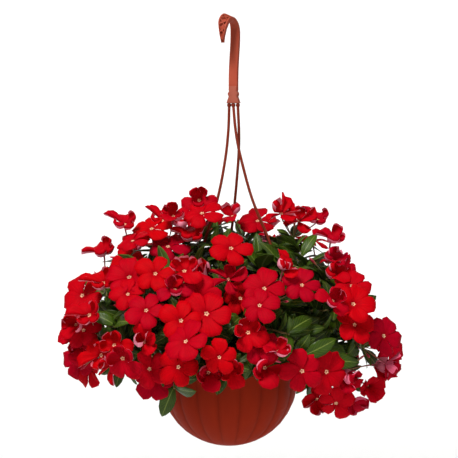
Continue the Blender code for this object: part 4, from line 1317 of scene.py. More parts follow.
def petal_object(name, notch, lobe, pinwheel, ruffle, tip_curl, side_curl):
    """One kind of petal, from its eye at the middle of the flower to its rim."""
    radius = BLOOM_DIAMETER / 2
    phase = len(name)

    def place(s, t):
        reach = radius * (1.03 - notch * abs(t) ** lobe + 0.05 * t + 0.02 * math.sin(7.0 * t + phase))
        r, curled_up = curled(EYE_RADIUS + (reach - EYE_RADIUS) * s, TIP_CURL_FROM * reach, reach, tip_curl)
        a = t * PETAL_SPREAD * (1 - 0.05 * (1 - s)) - 0.03
        half = r * PETAL_SPREAD
        across, rolled_up = curled(a * r, SIDE_CURL_FROM * half, half, side_curl)
        rise = pinwheel * s * (0.5 - 0.9 * t - 1.1 * t**4)
        rise += ruffle * s**2 * math.sin(4.2 * t + phase)
        rise -= 1000 * EYE_DEPTH * (1 - s) ** 1.6
        a = across / r
        return Vector((math.cos(a) * r, math.sin(a) * r, rise * MM + curled_up + rolled_up))

    return closed_sheet(f"petal_{name}", PETAL_ROWS, PETAL_COLUMNS, place, PETAL_FINISH)


PETAL_ORDER = list(PETAL_KINDS)
petals = new_store("petals", [petal_object(kind, *numbers) for kind, numbers in PETAL_KINDS.items()])

# %% Leaves
LEAF_FINISH = 3
LEAF_OUTLINE = {0.0: 0.06, 0.10: 0.40, 0.32: 0.90, 0.54: 0.98, 0.74: 0.80, 0.91: 0.40, 1.0: 0.03}
LEAF_COLUMNS = (-1.0, -0.5, 0.0, 0.5, 1.0)
LEAF_BENDS = (0.05, -0.06, 0.03, -0.03)


def leaf_object(index, droop):
    """A pointed oval blade: arched by its droop as its solid is, folded a little along the midrib."""

    def place(s, t):
        half = LEAF_WIDTH / 2 * LEAF_OUTLINE[s]
        rise = LEAF_LENGTH * (0.20 * s - droop * s * s)
        fold = 0.0024 * abs(t) ** 1.3 * math.sin(math.pi * min(1.0, s + 0.05))
        ruffle = 0.0009 * abs(t) ** 2 * math.sin(9.5 * s + 2.1 * index + t)
        sideways = t * half + LEAF_BENDS[index] * LEAF_LENGTH * s * s
        return Vector((s * LEAF_LENGTH, sideways, rise + fold + ruffle))

    return closed_sheet(f"leaf_{index}", LEAF_OUTLINE, LEAF_COLUMNS, place, LEAF_FINISH)


leaf_forms = [leaf_object(i, droop) for i, droop in enumerate(LEAF_DROOPS)]
print(len(leaf_forms), "leaves with", len(leaf_forms[0].data.polygons), "faces each")

# %% A bud
BUD_FINISH = 2
BUD_SIDES = 10
BUD_PROFILE = ((0.0, 0.55), (0.14, 0.62), (0.36, 0.92), (0.60, 1.0), (0.82, 0.66), (1.0, 0.06))


def bud_object():
    """Five petals rolled in a spindle: the furrows between them wind half a turn up the bud."""
    points, along = [], []
    for share, width in BUD_PROFILE:
        for k in range(BUD_SIDES):
            radius = BUD_RADIUS * width * (1.0 if k % 2 else 0.82)
            points.append(on_ring(k, BUD_SIDES, radius, share * BUD_LENGTH, share * 1.6))
            along.append(share)
    caps = [tuple(reversed(range(BUD_SIDES))), tuple(range(len(points) - BUD_SIDES, len(points)))]
    faces = bands(len(BUD_PROFILE), BUD_SIDES) + caps
    return new_body("bud", points, faces, [BUD_FINISH] * len(faces), along=along)


bud_form = bud_object()
print("a bud has", len(bud_form.data.polygons), "faces")

# %% [markdown]
# ## Trees of nodes
#
# Whatever repeats is set out by Geometry Nodes. A small helper starts a tree with named inputs, and a
# second one runs it: it sets each input by its identifier before the object is first evaluated, takes
# the result as a plain mesh and drops the modifier.

# %% Starting and running a tree
SOCKETS = {int: "NodeSocketInt", float: "NodeSocketFloat", tuple: "NodeSocketVector"}


def new_tree(name, **inputs):
    """A geometry tree with these inputs and defaults, what adds nodes to it, its inputs and its end."""
    tree = bpy.data.node_groups.new(name, "GeometryNodeTree")
    tree.interface.new_socket("Geometry", in_out="INPUT", socket_type="NodeSocketGeometry")
    for label, default in inputs.items():
        kind = SOCKETS.get(type(default), "NodeSocketCollection")
        socket = tree.interface.new_socket(label, in_out="INPUT", socket_type=kind)
        if default is not None:
            socket.default_value = default
    tree.interface.new_socket("Geometry", in_out="OUTPUT", socket_type="NodeSocketGeometry")
    given = tree.nodes.new("NodeGroupInput").outputs
    return tree, partial(add_node, tree), given, tree.nodes.new("NodeGroupOutput")


def applied(obj, *helpers):
    """The plain object that the modifiers of obj make of it. It and its helpers go."""
    for used in (obj, *helpers):
        bpy.context.scene.collection.objects.link(used)
    bpy.context.view_layer.update()
    graph = bpy.context.evaluated_depsgraph_get()
    mesh = bpy.data.meshes.new_from_object(obj.evaluated_get(graph))
    name = obj.name
    for used in (obj, *helpers):
        bpy.data.objects.remove(used)
    mesh.name = name
    return bpy.data.objects.new(name, mesh)


def run_tree(obj, tree, **values):
    """The plain mesh object that the tree makes of obj, with these values for its inputs."""
    modifier = obj.modifiers.new(tree.name, "NODES")
    modifier.node_group = tree
    for item in tree.interface.items_tree:
        if item.in_out == "INPUT" and item.name in values:
            modifier[item.identifier] = values[item.name]
    return applied(obj)


print("inputs are set by identifier, before the first evaluation")

# %% [markdown]
# A bloom is five petals round a throat. The tree turns each petal by a fifth of a circle, folds it up
# from the flat about its own foot, and lets chance pick its kind, its tilt and its size. With a count
# above five the next petals stand inside the first, smaller and folded further, as in a half-open
# flower.

# %% The bloom tree
bloom_tree, add, given, end = new_tree(
    "bloom of petals",
    petals=None,
    count=PETALS,
    first_kind=0,
    last_kind=0,
    fold=0.0,
    fold_of_inner=0.35,
    unevenness=0.1,
    seed=0,
)
index = add("GeometryNodeInputIndex")
ring = add("ShaderNodeMath", {0: index, 1: float(PETALS)}, operation="DIVIDE")
layer = add("ShaderNodeMath", {0: ring}, operation="FLOOR")
less = add("ShaderNodeMath", {0: given["unevenness"], 1: -1.0}, operation="MULTIPLY")
limits = {2: less, 3: given["unevenness"], "Seed": given["seed"]}
chance = add("FunctionNodeRandomValue", limits, data_type="FLOAT")
inner_fold = add("ShaderNodeMath", {0: layer, 1: given["fold_of_inner"]}, operation="MULTIPLY")
folded = add("ShaderNodeMath", {0: inner_fold, 1: given["fold"]}, operation="ADD")
uneven = add("ShaderNodeMath", {0: folded, 1: chance}, operation="ADD")
upwards = add("ShaderNodeMath", {0: uneven, 1: -1.0}, operation="MULTIPLY")
whole_turn = add("ShaderNodeMath", {0: ring, 1: math.tau}, operation="MULTIPLY")
turned_petal = add("ShaderNodeCombineXYZ", {"Y": upwards, "Z": whole_turn})
flat_petal = add("ShaderNodeCombineXYZ", {"Z": whole_turn})
# A petal's foot stays where it lies in the flat flower
foot = (EYE_RADIUS, 0, -EYE_DEPTH)
flat_foot, folded_foot = (
    add("ShaderNodeVectorRotate", {"Vector": foot, "Rotation": turn}, rotation_type="EULER_XYZ")
    for turn in (flat_petal, turned_petal)
)
held = add("ShaderNodeVectorMath", {0: flat_foot, 1: folded_foot}, operation="SUBTRACT")
spots_at_eye = add("GeometryNodePoints", {"Count": given["count"], "Position": held})
limits = {4: given["first_kind"], 5: given["last_kind"], "Seed": given["seed"]}
kind = add("FunctionNodeRandomValue", limits, data_type="INT")
by_layer = {"Value": layer, "From Min": 0.0, "From Max": 1.0, "To Min": 1.0, "To Max": 0.68}
smaller = add("ShaderNodeMapRange", by_layer)
own_growth = add("FunctionNodeRandomValue", {2: 0.88, 3: 1.08, "Seed": given["seed"]}, data_type="FLOAT")
grown = add("ShaderNodeMath", {0: smaller, 1: own_growth}, operation="MULTIPLY")
apart = {"Separate Children": True, "Reset Children": True}
store = add("GeometryNodeCollectionInfo", {"Collection": given["petals"], **apart})
picking = {"Points": spots_at_eye, "Instance": store, "Pick Instance": True, "Instance Index": kind}
sizing = {"Rotation": turned_petal, "Scale": grown}
ring_of_petals = add("GeometryNodeInstanceOnPoints", {**picking, **sizing})
real_petals = add("GeometryNodeRealizeInstances", {"Geometry": ring_of_petals})
whole_bloom = add("GeometryNodeJoinGeometry", {"Geometry": [real_petals, given["Geometry"]]})
coloured = add("GeometryNodeSetMaterial", {"Geometry": whole_bloom, "Material": petal})
feed(end, {"Geometry": coloured})
print("the bloom tree has", len(bloom_tree.nodes), "nodes")

# %% Forms of blooms, buds and leaves to pick from
# Each ring of the throat: its radius, its height, and its place along a petal for the finish
THROAT_RINGS = ((0.0014, -0.0021, 0.02), (0.0009, -0.0030, -0.08), (0.0006, -0.0042, -0.15))
THROAT_SIDES = 8

# Each make of bloom: its first and last kind of petal in store order, how many petals it has, how far
# they fold up and how unevenly, in radians, and its seed
BLOOM_MAKES = [
    ("broad", "broad", 5, 0.04, 0.12, 1),
    ("broad", "parted", 5, 0.04, 0.18, 2),
    ("wavy", "wavy", 5, 0.08, 0.18, 3),
    ("broad", "broad", 5, -0.08, 0.18, 5),
    ("parted", "parted", 5, 0.0, 0.18, 7),
    ("broad", "parted", 5, 0.12, 0.20, 8),
    ("side_curled", "wavy", 5, 0.06, 0.20, 4),
    ("side_curled", "wavy", 5, 0.10, 0.22, 9),
    ("side_curled", "tip_curled", 5, 0.22, 0.50, 21),
    ("tip_curled", "wavy", 5, 0.20, 0.35, 22),
    ("broad", "wavy", 5, 0.35, 0.45, 23),
    ("broad", "wavy", 5, 0.85, 0.30, 31),
    ("wavy", "wavy", 5, 0.75, 0.38, 32),
    ("parted", "side_curled", 8, 0.62, 0.36, 11),
    ("rolled", "tip_curled", 6, 0.80, 0.40, 12),
    ("side_curled", "wavy", 7, 0.70, 0.40, 13),
]
# They are fresh, ageing with curled petals, closing with their backs to be seen, and half open
FRESH, AGEING, CLOSING, CUPPED = range(0, 6), range(6, 11), range(11, 13), range(13, 16)
BUD_FORM = len(BLOOM_MAKES)
LEAF_FORM = BUD_FORM + 1


def throat_object(name):
    """The funnel inside the eye, painted darker at its foot as painted shade."""
    around = range(THROAT_SIDES)
    points = [on_ring(k, THROAT_SIDES, radius, z) for radius, z, _ in THROAT_RINGS for k in around]
    along = [share for *_, share in THROAT_RINGS for k in around]
    # The faces look inwards, to whoever looks into the bloom
    faces = [face[1:] + face[:1] for face in bands(len(THROAT_RINGS), THROAT_SIDES)]
    faces.append(tuple(range(len(points) - THROAT_SIDES, len(points))))
    return new_body(name, points, faces, [PETAL_FINISH] * len(faces), open_sheet=True, along=along)


in_order = []
for i, (first, last, *numbers) in enumerate(BLOOM_MAKES):
    values = {"first_kind": PETAL_ORDER.index(first), "last_kind": PETAL_ORDER.index(last), "petals": petals}
    values.update(zip(("count", "fold", "unevenness", "seed"), numbers))
    in_order.append(run_tree(throat_object(f"form_{i:02d}"), bloom_tree, **values))
in_order += [bud_form, *leaf_forms]
for i, form in enumerate(in_order):
    form.name = f"form_{i:02d}"
forms = new_store("forms", in_order)

# %% [markdown]
# The second tree dresses a whole stem or head. Its object holds two sorts of points: those joined by
# edges are the wires of stems and tubes, thick or thin as their `girth` says, and loose ones are
# places, where `form` picks a bloom, bud or leaf that is turned and sized as the point says. At the
# end every instance is made real, and the value `finish` on each face chooses its material.

# %% The sprig tree
FINISHES = [petal, petal_under, bud_skin, leaf_top, leaf_under, stem_skin, leg_plastic]
STEM_FINISH = FINISHES.index(stem_skin)
LEG_FINISH = FINISHES.index(leg_plastic)
sprig_tree, add, given, end = new_tree(
    "sprig of wires and forms", forms=None, wire_sides=6, wire_finish=STEM_FINISH, steps_per_wire_point=2
)
wires = add("GeometryNodeMeshToCurve", {"Mesh": given["Geometry"]})
smooth_wires = add("GeometryNodeCurveSplineType", {"Curve": wires}, spline_type="CATMULL_ROM")
steps = {"Geometry": smooth_wires, "Resolution": given["steps_per_wire_point"]}
stepped = add("GeometryNodeSetSplineResolution", steps)
girth = add("GeometryNodeInputNamedAttribute", {"Name": "girth"}, data_type="FLOAT")
section = add("GeometryNodeCurvePrimitiveCircle", {"Resolution": given["wire_sides"], "Radius": 1.0})
sweeping = {"Curve": stepped, "Profile Curve": section, "Scale": girth, "Fill Caps": True}
round_wires = add("GeometryNodeCurveToMesh", sweeping)
marking = {"Geometry": round_wires, "Name": "finish", "Value": given["wire_finish"]}
wire_mark = add("GeometryNodeStoreNamedAttribute", marking, data_type="INT", domain="FACE")
form = add("GeometryNodeInputNamedAttribute", {"Name": "form"}, data_type="INT")
is_place = add("FunctionNodeCompare", {2: form, 3: 0}, data_type="INT", operation="GREATER_EQUAL")
turn = add("GeometryNodeInputNamedAttribute", {"Name": "turn"}, data_type="FLOAT_VECTOR")
size = add("GeometryNodeInputNamedAttribute", {"Name": "size"}, data_type="FLOAT_VECTOR")
store = add("GeometryNodeCollectionInfo", {"Collection": given["forms"], **apart})
picking = {"Instance": store, "Pick Instance": True, "Instance Index": form}
sizing = {"Points": given["Geometry"], "Selection": is_place, "Rotation": turn, "Scale": size}
placed = add("GeometryNodeInstanceOnPoints", {**picking, **sizing})
together = add("GeometryNodeJoinGeometry", {"Geometry": [placed, wire_mark]})
real = add("GeometryNodeRealizeInstances", {"Geometry": together})
dressed = add("GeometryNodeSetShadeSmooth", {"Geometry": real})
mark = add("GeometryNodeInputNamedAttribute", {"Name": "finish"}, data_type="INT")
for number, finish in enumerate(FINISHES):
    chosen = add("FunctionNodeCompare", {2: mark, 3: number}, data_type="INT", operation="EQUAL")
    dressed = add("GeometryNodeSetMaterial", {"Geometry": dressed, "Selection": chosen, "Material": finish})
feed(end, {"Geometry": dressed})
print("the sprig tree has", len(sprig_tree.nodes), "nodes")

# %% What goes into the sprig tree
# The values of a point, with what a point has where nothing else is said
FLOATS = {"girth": 0.0, "warmth": 0.0, "tint": 0.5}
VECTORS = {"turn": (0, 0, 0), "size": (1, 1, 1)}


class Sprig:
    """Wires and places with their values, for one piece."""

    def __init__(self):
        self.points, self.edges, self.values = [], [], []

    def put(self, point, **values):
        """A point, with what differs from the usual values."""
        self.points.append(point)
        self.values.append({"form": -1, **FLOATS, **VECTORS, **values})

    def wire(self, path, girths, warmths):
        """A wire along a path, with a girth and a warmth for each of its points."""
        start = len(self.points)
        for point, girth, warmth in zip(path, girths, warmths):
            self.put(point, girth=girth, warmth=warmth)
        self.edges += [(i, i + 1) for i in range(start, len(self.points) - 1)]

    def place(self, matrix, form, size, tint):
        """A form at a place, turned and sized."""
        self.put(matrix.translation, tint=tint, form=form, turn=tuple(matrix.to_euler()), size=size)

    def finished(self, name, **inputs):
        """The plain mesh object that the tree makes of it all."""
        mesh = bpy.data.meshes.new(name)
        mesh.from_pydata(self.points, self.edges, [])
        for label, kind in (*((f, "FLOAT") for f in FLOATS), ("form", "INT")):
            numbers = [values[label] for values in self.values]
            mesh.attributes.new(label, kind, "POINT").data.foreach_set("value", numbers)
        for label in VECTORS:
            numbers = [c for values in self.values for c in values[label]]
            mesh.attributes.new(label, "FLOAT_VECTOR", "POINT").data.foreach_set("vector", numbers)
        return run_tree(bpy.data.objects.new(name, mesh), sprig_tree, forms=forms, **inputs)


triangles = {}


def drop_values(piece, *names):
    """Takes values off a piece that only its tree read."""
    for name in names:
        if name in piece.data.attributes:
            piece.data.attributes.remove(piece.data.attributes[name])


def stand_in(piece, node):
    """The piece shows in place of its solid and moves with the object."""
    bpy.context.scene.collection.objects.link(piece)
    drop_values(piece, "girth", "form", *VECTORS, "finish")
    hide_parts(node)
    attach(piece, "root")
    triangles[node] = sum(len(face.vertices) - 2 for face in piece.data.polygons)


print("a sprig carries", ", ".join([*FLOATS, "form", *VECTORS]))

# %% [markdown]
# ## Heads of blooms
#
# A bloom's tube is a slender trumpet: a green calyx at its foot, a thin waist, and a slight swelling
# under the eye where the petals spread. All tubes of a head meet in one knob at the tip of its twig.

# %% Heads
# How far along the tube, how thick it is there, and how reddish
TUBE_STATIONS = (
    (0.0, 0.0010, 0.0),
    (0.10, 0.0013, 0.0),
    (0.16, 0.0008, 0.35),
    (0.45, 0.0008, 0.5),
    (0.80, 0.0011, 0.7),
    (0.93, 0.0013, 0.9),
    (1.0, 0.0012, 1.0),
)
# The lowest blooms are the oldest: more of them are ageing, and at the trailing tips they are closing
LOW_UNTIL = 0.20
TRAILING_FROM = 0.185
HIGH_SHARES = (0.70, 0.30, 0.0)
LOW_SHARES = (0.52, 0.48, 0.0)
TRAILING_SHARES = (0.34, 0.50, 0.16)
look_rng = random.Random(SEED + 6)


def add_bloom(sprig, bloom):
    """A bloom at its planned place, on a tube that bends a little on its way from the knob."""
    frame, foot = bloom["frame"], bloom["root"]
    mouth = frame @ Vector((0, 0, -MOUTH_DEPTH))
    axis = frame.to_3x3() @ UP
    bow = axis * (mouth - foot).length * 0.10
    shares, girths, warmths = zip(*TUBE_STATIONS)
    path = [foot.lerp(mouth, share) - bow * math.sin(math.pi * share) * share for share in shares]
    path[-1] = frame @ Vector((0, 0, -MOUTH_DEPTH + 0.0016))
    sprig.wire(path, girths, warmths)
    spot = frame.translation
    odds = HIGH_SHARES
    if spot.z < LOW_UNTIL:
        odds = TRAILING_SHARES if math.hypot(spot.x, spot.y) > TRAILING_FROM else LOW_SHARES
    group = look_rng.choices((FRESH, AGEING, CLOSING), odds)[0]
    if bloom["cup"] > 0:
        group = CUPPED
    form = group[int(look_rng.random() * len(group))]
    whole = bloom["diameter"] / BLOOM_DIAMETER / (1 - bloom["cup"] / 6)
    size = (whole * look_rng.uniform(0.95, 1.08), whole * look_rng.uniform(0.95, 1.08), whole)
    sprig.place(frame, form, size, look_rng.random())


def add_leaf(sprig, leaf, tint):
    """A leaf of the form whose droop was planned."""
    form = LEAF_FORM + LEAF_DROOPS.index(leaf["droop"])
    length = leaf["length"] / LEAF_LENGTH
    sprig.place(leaf["frame"], form, (length, leaf["width"] / LEAF_WIDTH, length), tint)


def add_bud(sprig, knob, bud):
    """A bud on its stalk."""
    turn = bud["lean"].to_track_quat("Z", "Y").to_matrix().to_4x4()
    sprig.wire([knob, knob.lerp(bud["base"], 0.5), bud["base"]], (0.0010, 0.0008, 0.0009), (0.0, 0.1, 0.3))
    sprig.place(Matrix.Translation(bud["base"]) @ turn, BUD_FORM, (bud["grown"],) * 3, look_rng.random())


for name, head in heads.items():
    sprig = Sprig()
    for bloom in head["blooms"]:
        add_bloom(sprig, bloom)
    for leaf in head["collar"]:
        add_leaf(sprig, leaf, look_rng.uniform(0.35, 1.0))
    for bud in head["buds"]:
        add_bud(sprig, head["knob"], bud)
    stand_in(sprig.finished(f"{name}_blooms"), f"blooms_{name}")
print(len(heads), "heads,", sum(triangles.values()), "triangles")

# %% [markdown]
# ## Leafy stems
#
# A stem is thickest in the potting mix and tapers to its twigs. It is green and turns reddish towards
# the light, as periwinkle stems of red kinds do. The big leaves stand where their solids stand, and
# the small ones fill the spaces between. Leaves deep inside are painted darker, as painted shade.

# %% Stems
PAINTED_SHADE_WITHIN = 0.55
PAINTED_SHADE_SHARE = 0.7


def shaded_leaf_tint(leaf):
    """Brighter near the dome's outside and darker within, as painted shade, with a random part of its own."""
    tip = leaf["frame"] @ Vector((leaf["length"], 0, 0))
    reach = in_domes(tip - DOME_CENTRE).length
    return max(0.0, min(1.0, (reach - PAINTED_SHADE_WITHIN) / 0.55)) * PAINTED_SHADE_SHARE + look_rng.uniform(0.0, 0.3)


for stem in stems:
    sprig = Sprig()
    sprig.wire(stem["trunk"], (STEM_RADIUS, STEM_RADIUS, STEM_RADIUS * 0.8), (0.3, 0.1, 0.1))
    for path in stem["sprays"]:
        sprig.wire(path, (0.0012, 0.0010, 0.0008), (0.1, 0.15, 0.3))
    for path in (*stem["twigs"], *stem["shoots"]):
        shares = [i / (len(path) - 1) for i in range(len(path))]
        sprig.wire(path, [TWIG_RADIUS * (1.15 - 0.4 * s) for s in shares], [0.1 + 0.25 * s for s in shares])
    for leaf in (*stem["leaves"], *stem["small_leaves"]):
        add_leaf(sprig, leaf, shaded_leaf_tint(leaf))
    stand_in(sprig.finished(f"{stem['name']}_leafy"), stem["name"])
print(len(stems), "stems,", sum(triangles[stem["name"]] for stem in stems), "triangles")

# %% [markdown]
# ## The bowl
#
# The bowl is one injection moulding with a wall of 1.8 millimetres. Its form is a rule: a profile
# turned round, with twenty convex flutes between sharp grooves that fade out at the foot. So the
# profile is turned into a plain shell, and a tree of nodes presses the grooves, with their number and
# depth as inputs. The holes for the legs and the drain slots are cut last.

# %% Turning a profile
BOWL_STEPS = 16 * FLUTES
LIP_ROUNDING = 0.0009


def turned(name, profile, steps):
    """A closed body from a profile of (radius, height) points. A radius of 0 makes a pole."""
    points, rings = [], []
    for radius, z in profile:
        count = steps if radius > 1e-6 else 1
        rings.append([len(points) + k for k in range(count)])
        points += [on_ring(k, count, radius, z) for k in range(count)]
    faces = []
    for one, two in zip(rings, rings[1:]):
        for k in range(steps):
            corner = (one[k % len(one)], one[(k + 1) % len(one)], two[(k + 1) % len(two)], two[k % len(two)])
            faces.append(tuple(dict.fromkeys(corner)))
    return new_body(name, points, faces)


def rounded_corner(across, z, first, last, steps=3):
    """Points of a rounding in the profile, from one angle to another, in degrees."""
    made = []
    for k in range(steps + 1):
        a = math.radians(first + (last - first) * k / steps)
        made.append((across + math.cos(a) * LIP_ROUNDING, z + math.sin(a) * LIP_ROUNDING))
    return made


print("the bowl is turned in", BOWL_STEPS, "steps")

# %% The flute tree
flute_tree, add, given, end = new_tree("flutes pressed into a shell", flutes=FLUTES, flute_depth=FLUTE_DEPTH)
parts = add("ShaderNodeSeparateXYZ", {"Vector": add("GeometryNodeInputPosition")}).outputs
bearing = add("ShaderNodeMath", {0: parts["Y"], 1: parts["X"]}, operation="ARCTAN2")
half_flutes = add("ShaderNodeMath", {0: given["flutes"], 1: 0.5}, operation="MULTIPLY")
from_groove = add("ShaderNodeMath", {0: bearing, 1: math.pi / 2 + math.pi / FLUTES}, operation="ADD")
phase = add("ShaderNodeMath", {0: from_groove, 1: half_flutes}, operation="MULTIPLY")
wave = add("ShaderNodeMath", {0: phase}, operation="SINE")
rounded = add("ShaderNodeMath", {0: wave}, operation="ABSOLUTE")
crest = add("ShaderNodeMath", {0: rounded, 1: 0.60}, operation="POWER")
groove = add("ShaderNodeMath", {0: 1.0, 1: crest}, operation="SUBTRACT")
mask = add("GeometryNodeInputNamedAttribute", {"Name": "fluted"}, data_type="FLOAT")
masked = add("ShaderNodeMath", {0: groove, 1: mask}, operation="MULTIPLY")
depth = add("ShaderNodeMath", {0: masked, 1: given["flute_depth"]}, operation="MULTIPLY")
inwards = add("ShaderNodeMath", {0: depth, 1: -1.0}, operation="MULTIPLY")
level = add("ShaderNodeCombineXYZ", {"X": parts["X"], "Y": parts["Y"]})
radial = add("ShaderNodeVectorMath", {0: level}, operation="NORMALIZE")
shift = add("ShaderNodeVectorMath", {0: radial, "Scale": inwards}, operation="SCALE")
pressed = add("GeometryNodeSetPosition", {"Geometry": given["Geometry"], "Offset": shift})
# The finish reads how deep in a groove each point lies, and paints shade there
noted = add("GeometryNodeStoreNamedAttribute", {"Geometry": pressed, "Name": "groove", "Value": masked})
real_shell = add("GeometryNodeRealizeInstances", {"Geometry": noted})
feed(end, {"Geometry": add("GeometryNodeSetMaterial", {"Geometry": real_shell, "Material": terracotta})})
print("the flute tree has", len(flute_tree.nodes), "nodes")

# %% Cutters for the bowl
CUTTER_HEIGHT = 0.02


def cut_with(obj, cutters):
    """Cuts closed shapes out of a piece."""
    for cutter in cutters:
        cut = obj.modifiers.new("Cut", "BOOLEAN")
        cut.operation = "DIFFERENCE"
        cut.object = cutter
    return applied(obj, *cutters)


def cutter(name, radius, half, steps):
    """A closed cylinder, so far up and down from its middle."""
    return turned(name, [(0, -half), (radius, -half), (radius, half), (0, half)], steps)


def leg_hole(bearing):
    """The hole in the flange for a leg."""
    a = math.radians(bearing)
    place = Vector((math.cos(a), math.sin(a), 0)) * FLANGE_HOLE_RING + Vector((0, 0, FLANGE_Z))
    hole = cutter("hole", LEG_HOLE_RADIUS + GAP, CUTTER_HEIGHT / 2, 24)
    hole.data.transform(Matrix.Translation(place))
    return hole


def drain_slot(k):
    """A drain slot with round ends, which points away from the middle of the foot."""
    half = DRAIN_SLOT_LENGTH / 2 - DRAIN_SLOT_WIDTH / 2
    slot = cutter("slot", DRAIN_SLOT_WIDTH / 2, 0.006, 16)
    for v in slot.data.vertices:
        v.co.x += half if v.co.x > 1e-6 else -half if v.co.x < -1e-6 else 0.0
    turn = Matrix.Rotation(math.tau * (k + 0.5) / DRAIN_SLOTS, 4, "Z")
    slot.data.transform(turn @ Matrix.Translation((DRAIN_RING_RADIUS, 0, 0)))
    return slot


print(len(LEGS), "holes and", DRAIN_SLOTS, "slots")

# %% Bowl
FLOOR_TOP_Z = 0.0022
FLUTES_FROM_Z = 0.002
FLUTES_UP_TO_Z = FLANGE_Z - 0.0008
FADE_AT_FOOT = 0.012
FADE_AT_FLANGE = 0.006
WALL_HEIGHTS = (0.0, 0.0015, 0.004, 0.008, 0.013, 0.020, 0.031, 0.045, 0.060, 0.076, 0.092, FLANGE_Z - 0.0016)
# From the middle of the floor up the inside, round the lip and flange, and down the outside
lip_z = FLANGE_Z + FLANGE_THICKNESS - LIP_ROUNDING
lip_edge = FLANGE_RADIUS - LIP_ROUNDING
profile = [(0, FLOOR_TOP_Z), (bowl_radius(0) - BOWL_WALL - 0.001, FLOOR_TOP_Z)]
profile += [(bowl_radius(z) - BOWL_WALL, max(z, FLOOR_TOP_Z)) for z in WALL_HEIGHTS if z > 0.003]
profile += rounded_corner(bowl_radius(FLANGE_Z) - BOWL_WALL + LIP_ROUNDING, lip_z, 180, 90)
profile += rounded_corner(lip_edge, lip_z, 90, 0)
profile += rounded_corner(lip_edge, FLANGE_Z + LIP_ROUNDING, 0, -90)
profile += [(bowl_radius(FLANGE_Z) + 0.0006, FLANGE_Z), (bowl_radius(FLANGE_Z), FLANGE_Z - 0.0008)]
outside_from = len(profile)
profile += [(bowl_radius(z), z) for z in reversed(WALL_HEIGHTS)] + [(bowl_radius(0) - 0.0012, 0.0), (0, 0)]
shell = turned("bowl_shell", profile, BOWL_STEPS)
# The flutes are on the outside only, and fade out at the foot and under the flange
mask = []
for v in shell.data.vertices:
    ring = (v.index - 1) // BOWL_STEPS + 1
    low = min(1.0, max(0.0, (v.co.z - FLUTES_FROM_Z) / FADE_AT_FOOT))
    high = min(1.0, max(0.0, (FLUTES_UP_TO_Z - v.co.z) / FADE_AT_FLANGE))
    mask.append(low * high if outside_from <= ring < len(profile) - 2 else 0.0)
shell.data.attributes.new("fluted", "FLOAT", "POINT").data.foreach_set("value", mask)
fluted = run_tree(shell, flute_tree)
drop_values(fluted, "fluted")
holes = [leg_hole(bearing) for _, bearing, _ in LEGS.values()]
bowl = cut_with(fluted, holes + [drain_slot(k) for k in range(DRAIN_SLOTS)])
bowl.data.shade_smooth()
bowl.data.set_sharp_from_angle(angle=math.radians(38))
stand_in(bowl, "bowl")
print("bowl:", triangles["bowl"], "triangles")

# %% [markdown]
# ## Potting mix
#
# The mix fills the bowl to just under its rim and is mounded a little. Its lumps are noise that lifts
# the surface, and the crumbs of bark and perlite lie on it, scattered by a tree of nodes. The scatter
# has a fixed seed, so the same grain lies in the same place on every run.

# %% The crumb tree
crumb_tree, add, given, end = new_tree(
    "potting mix with crumbs",
    lump_height=0.0035,
    lumps_per_metre=110.0,
    crumbs_per_square_metre=26000.0,
    perlite_per_square_metre=9000.0,
    seed=4,
)
surface = add("GeometryNodeInputNamedAttribute", {"Name": "crust"}, data_type="FLOAT")
lumps = add("ShaderNodeTexNoise", {"Scale": given["lumps_per_metre"], "Detail": 4.0, "Roughness": 0.6})
sunk = add("ShaderNodeMath", {0: lumps, 1: -0.7}, operation="ADD")
tall = add("ShaderNodeMath", {0: sunk, 1: given["lump_height"]}, operation="MULTIPLY")
on_crust = add("ShaderNodeMath", {0: tall, 1: surface}, operation="MULTIPLY")
lift = add("ShaderNodeCombineXYZ", {"Z": on_crust})
lumpy = add("GeometryNodeSetPosition", {"Geometry": given["Geometry"], "Offset": lift})
everything = [add("GeometryNodeSetMaterial", {"Geometry": lumpy, "Material": peat})]
is_crust = add("ShaderNodeMath", {0: surface, 1: 0.5}, operation="GREATER_THAN")
for finish, density, low, high, offset in (
    (bark, given["crumbs_per_square_metre"], (0.5, 0.5, 0.3), (1.9, 1.1, 0.6), 0.0),
    (perlite, given["perlite_per_square_metre"], (0.5, 0.5, 0.5), (1.2, 1.1, 1.0), 100.0),
):
    seed = add("ShaderNodeMath", {0: given["seed"], 1: offset}, operation="ADD")
    scatter = {"Mesh": lumpy, "Selection": is_crust, "Density": density, "Seed": seed}
    spread = add("GeometryNodeDistributePointsOnFaces", scatter)
    turn = add("FunctionNodeRandomValue", {1: (math.tau,) * 3, "Seed": seed}, data_type="FLOAT_VECTOR")
    size = add("FunctionNodeRandomValue", {0: low, 1: high, "Seed": seed}, data_type="FLOAT_VECTOR")
    grain = add("GeometryNodeMeshIcoSphere", {"Radius": 0.0014, "Subdivisions": 1})
    placing = {"Points": spread, "Instance": grain, "Rotation": turn, "Scale": size}
    grains = add("GeometryNodeInstanceOnPoints", placing)
    everything.append(add("GeometryNodeSetMaterial", {"Geometry": grains, "Material": finish}))
whole_mix = add("GeometryNodeJoinGeometry", {"Geometry": everything})
feed(end, {"Geometry": add("GeometryNodeRealizeInstances", {"Geometry": whole_mix})})
print("the crumb tree has", len(crumb_tree.nodes), "nodes")

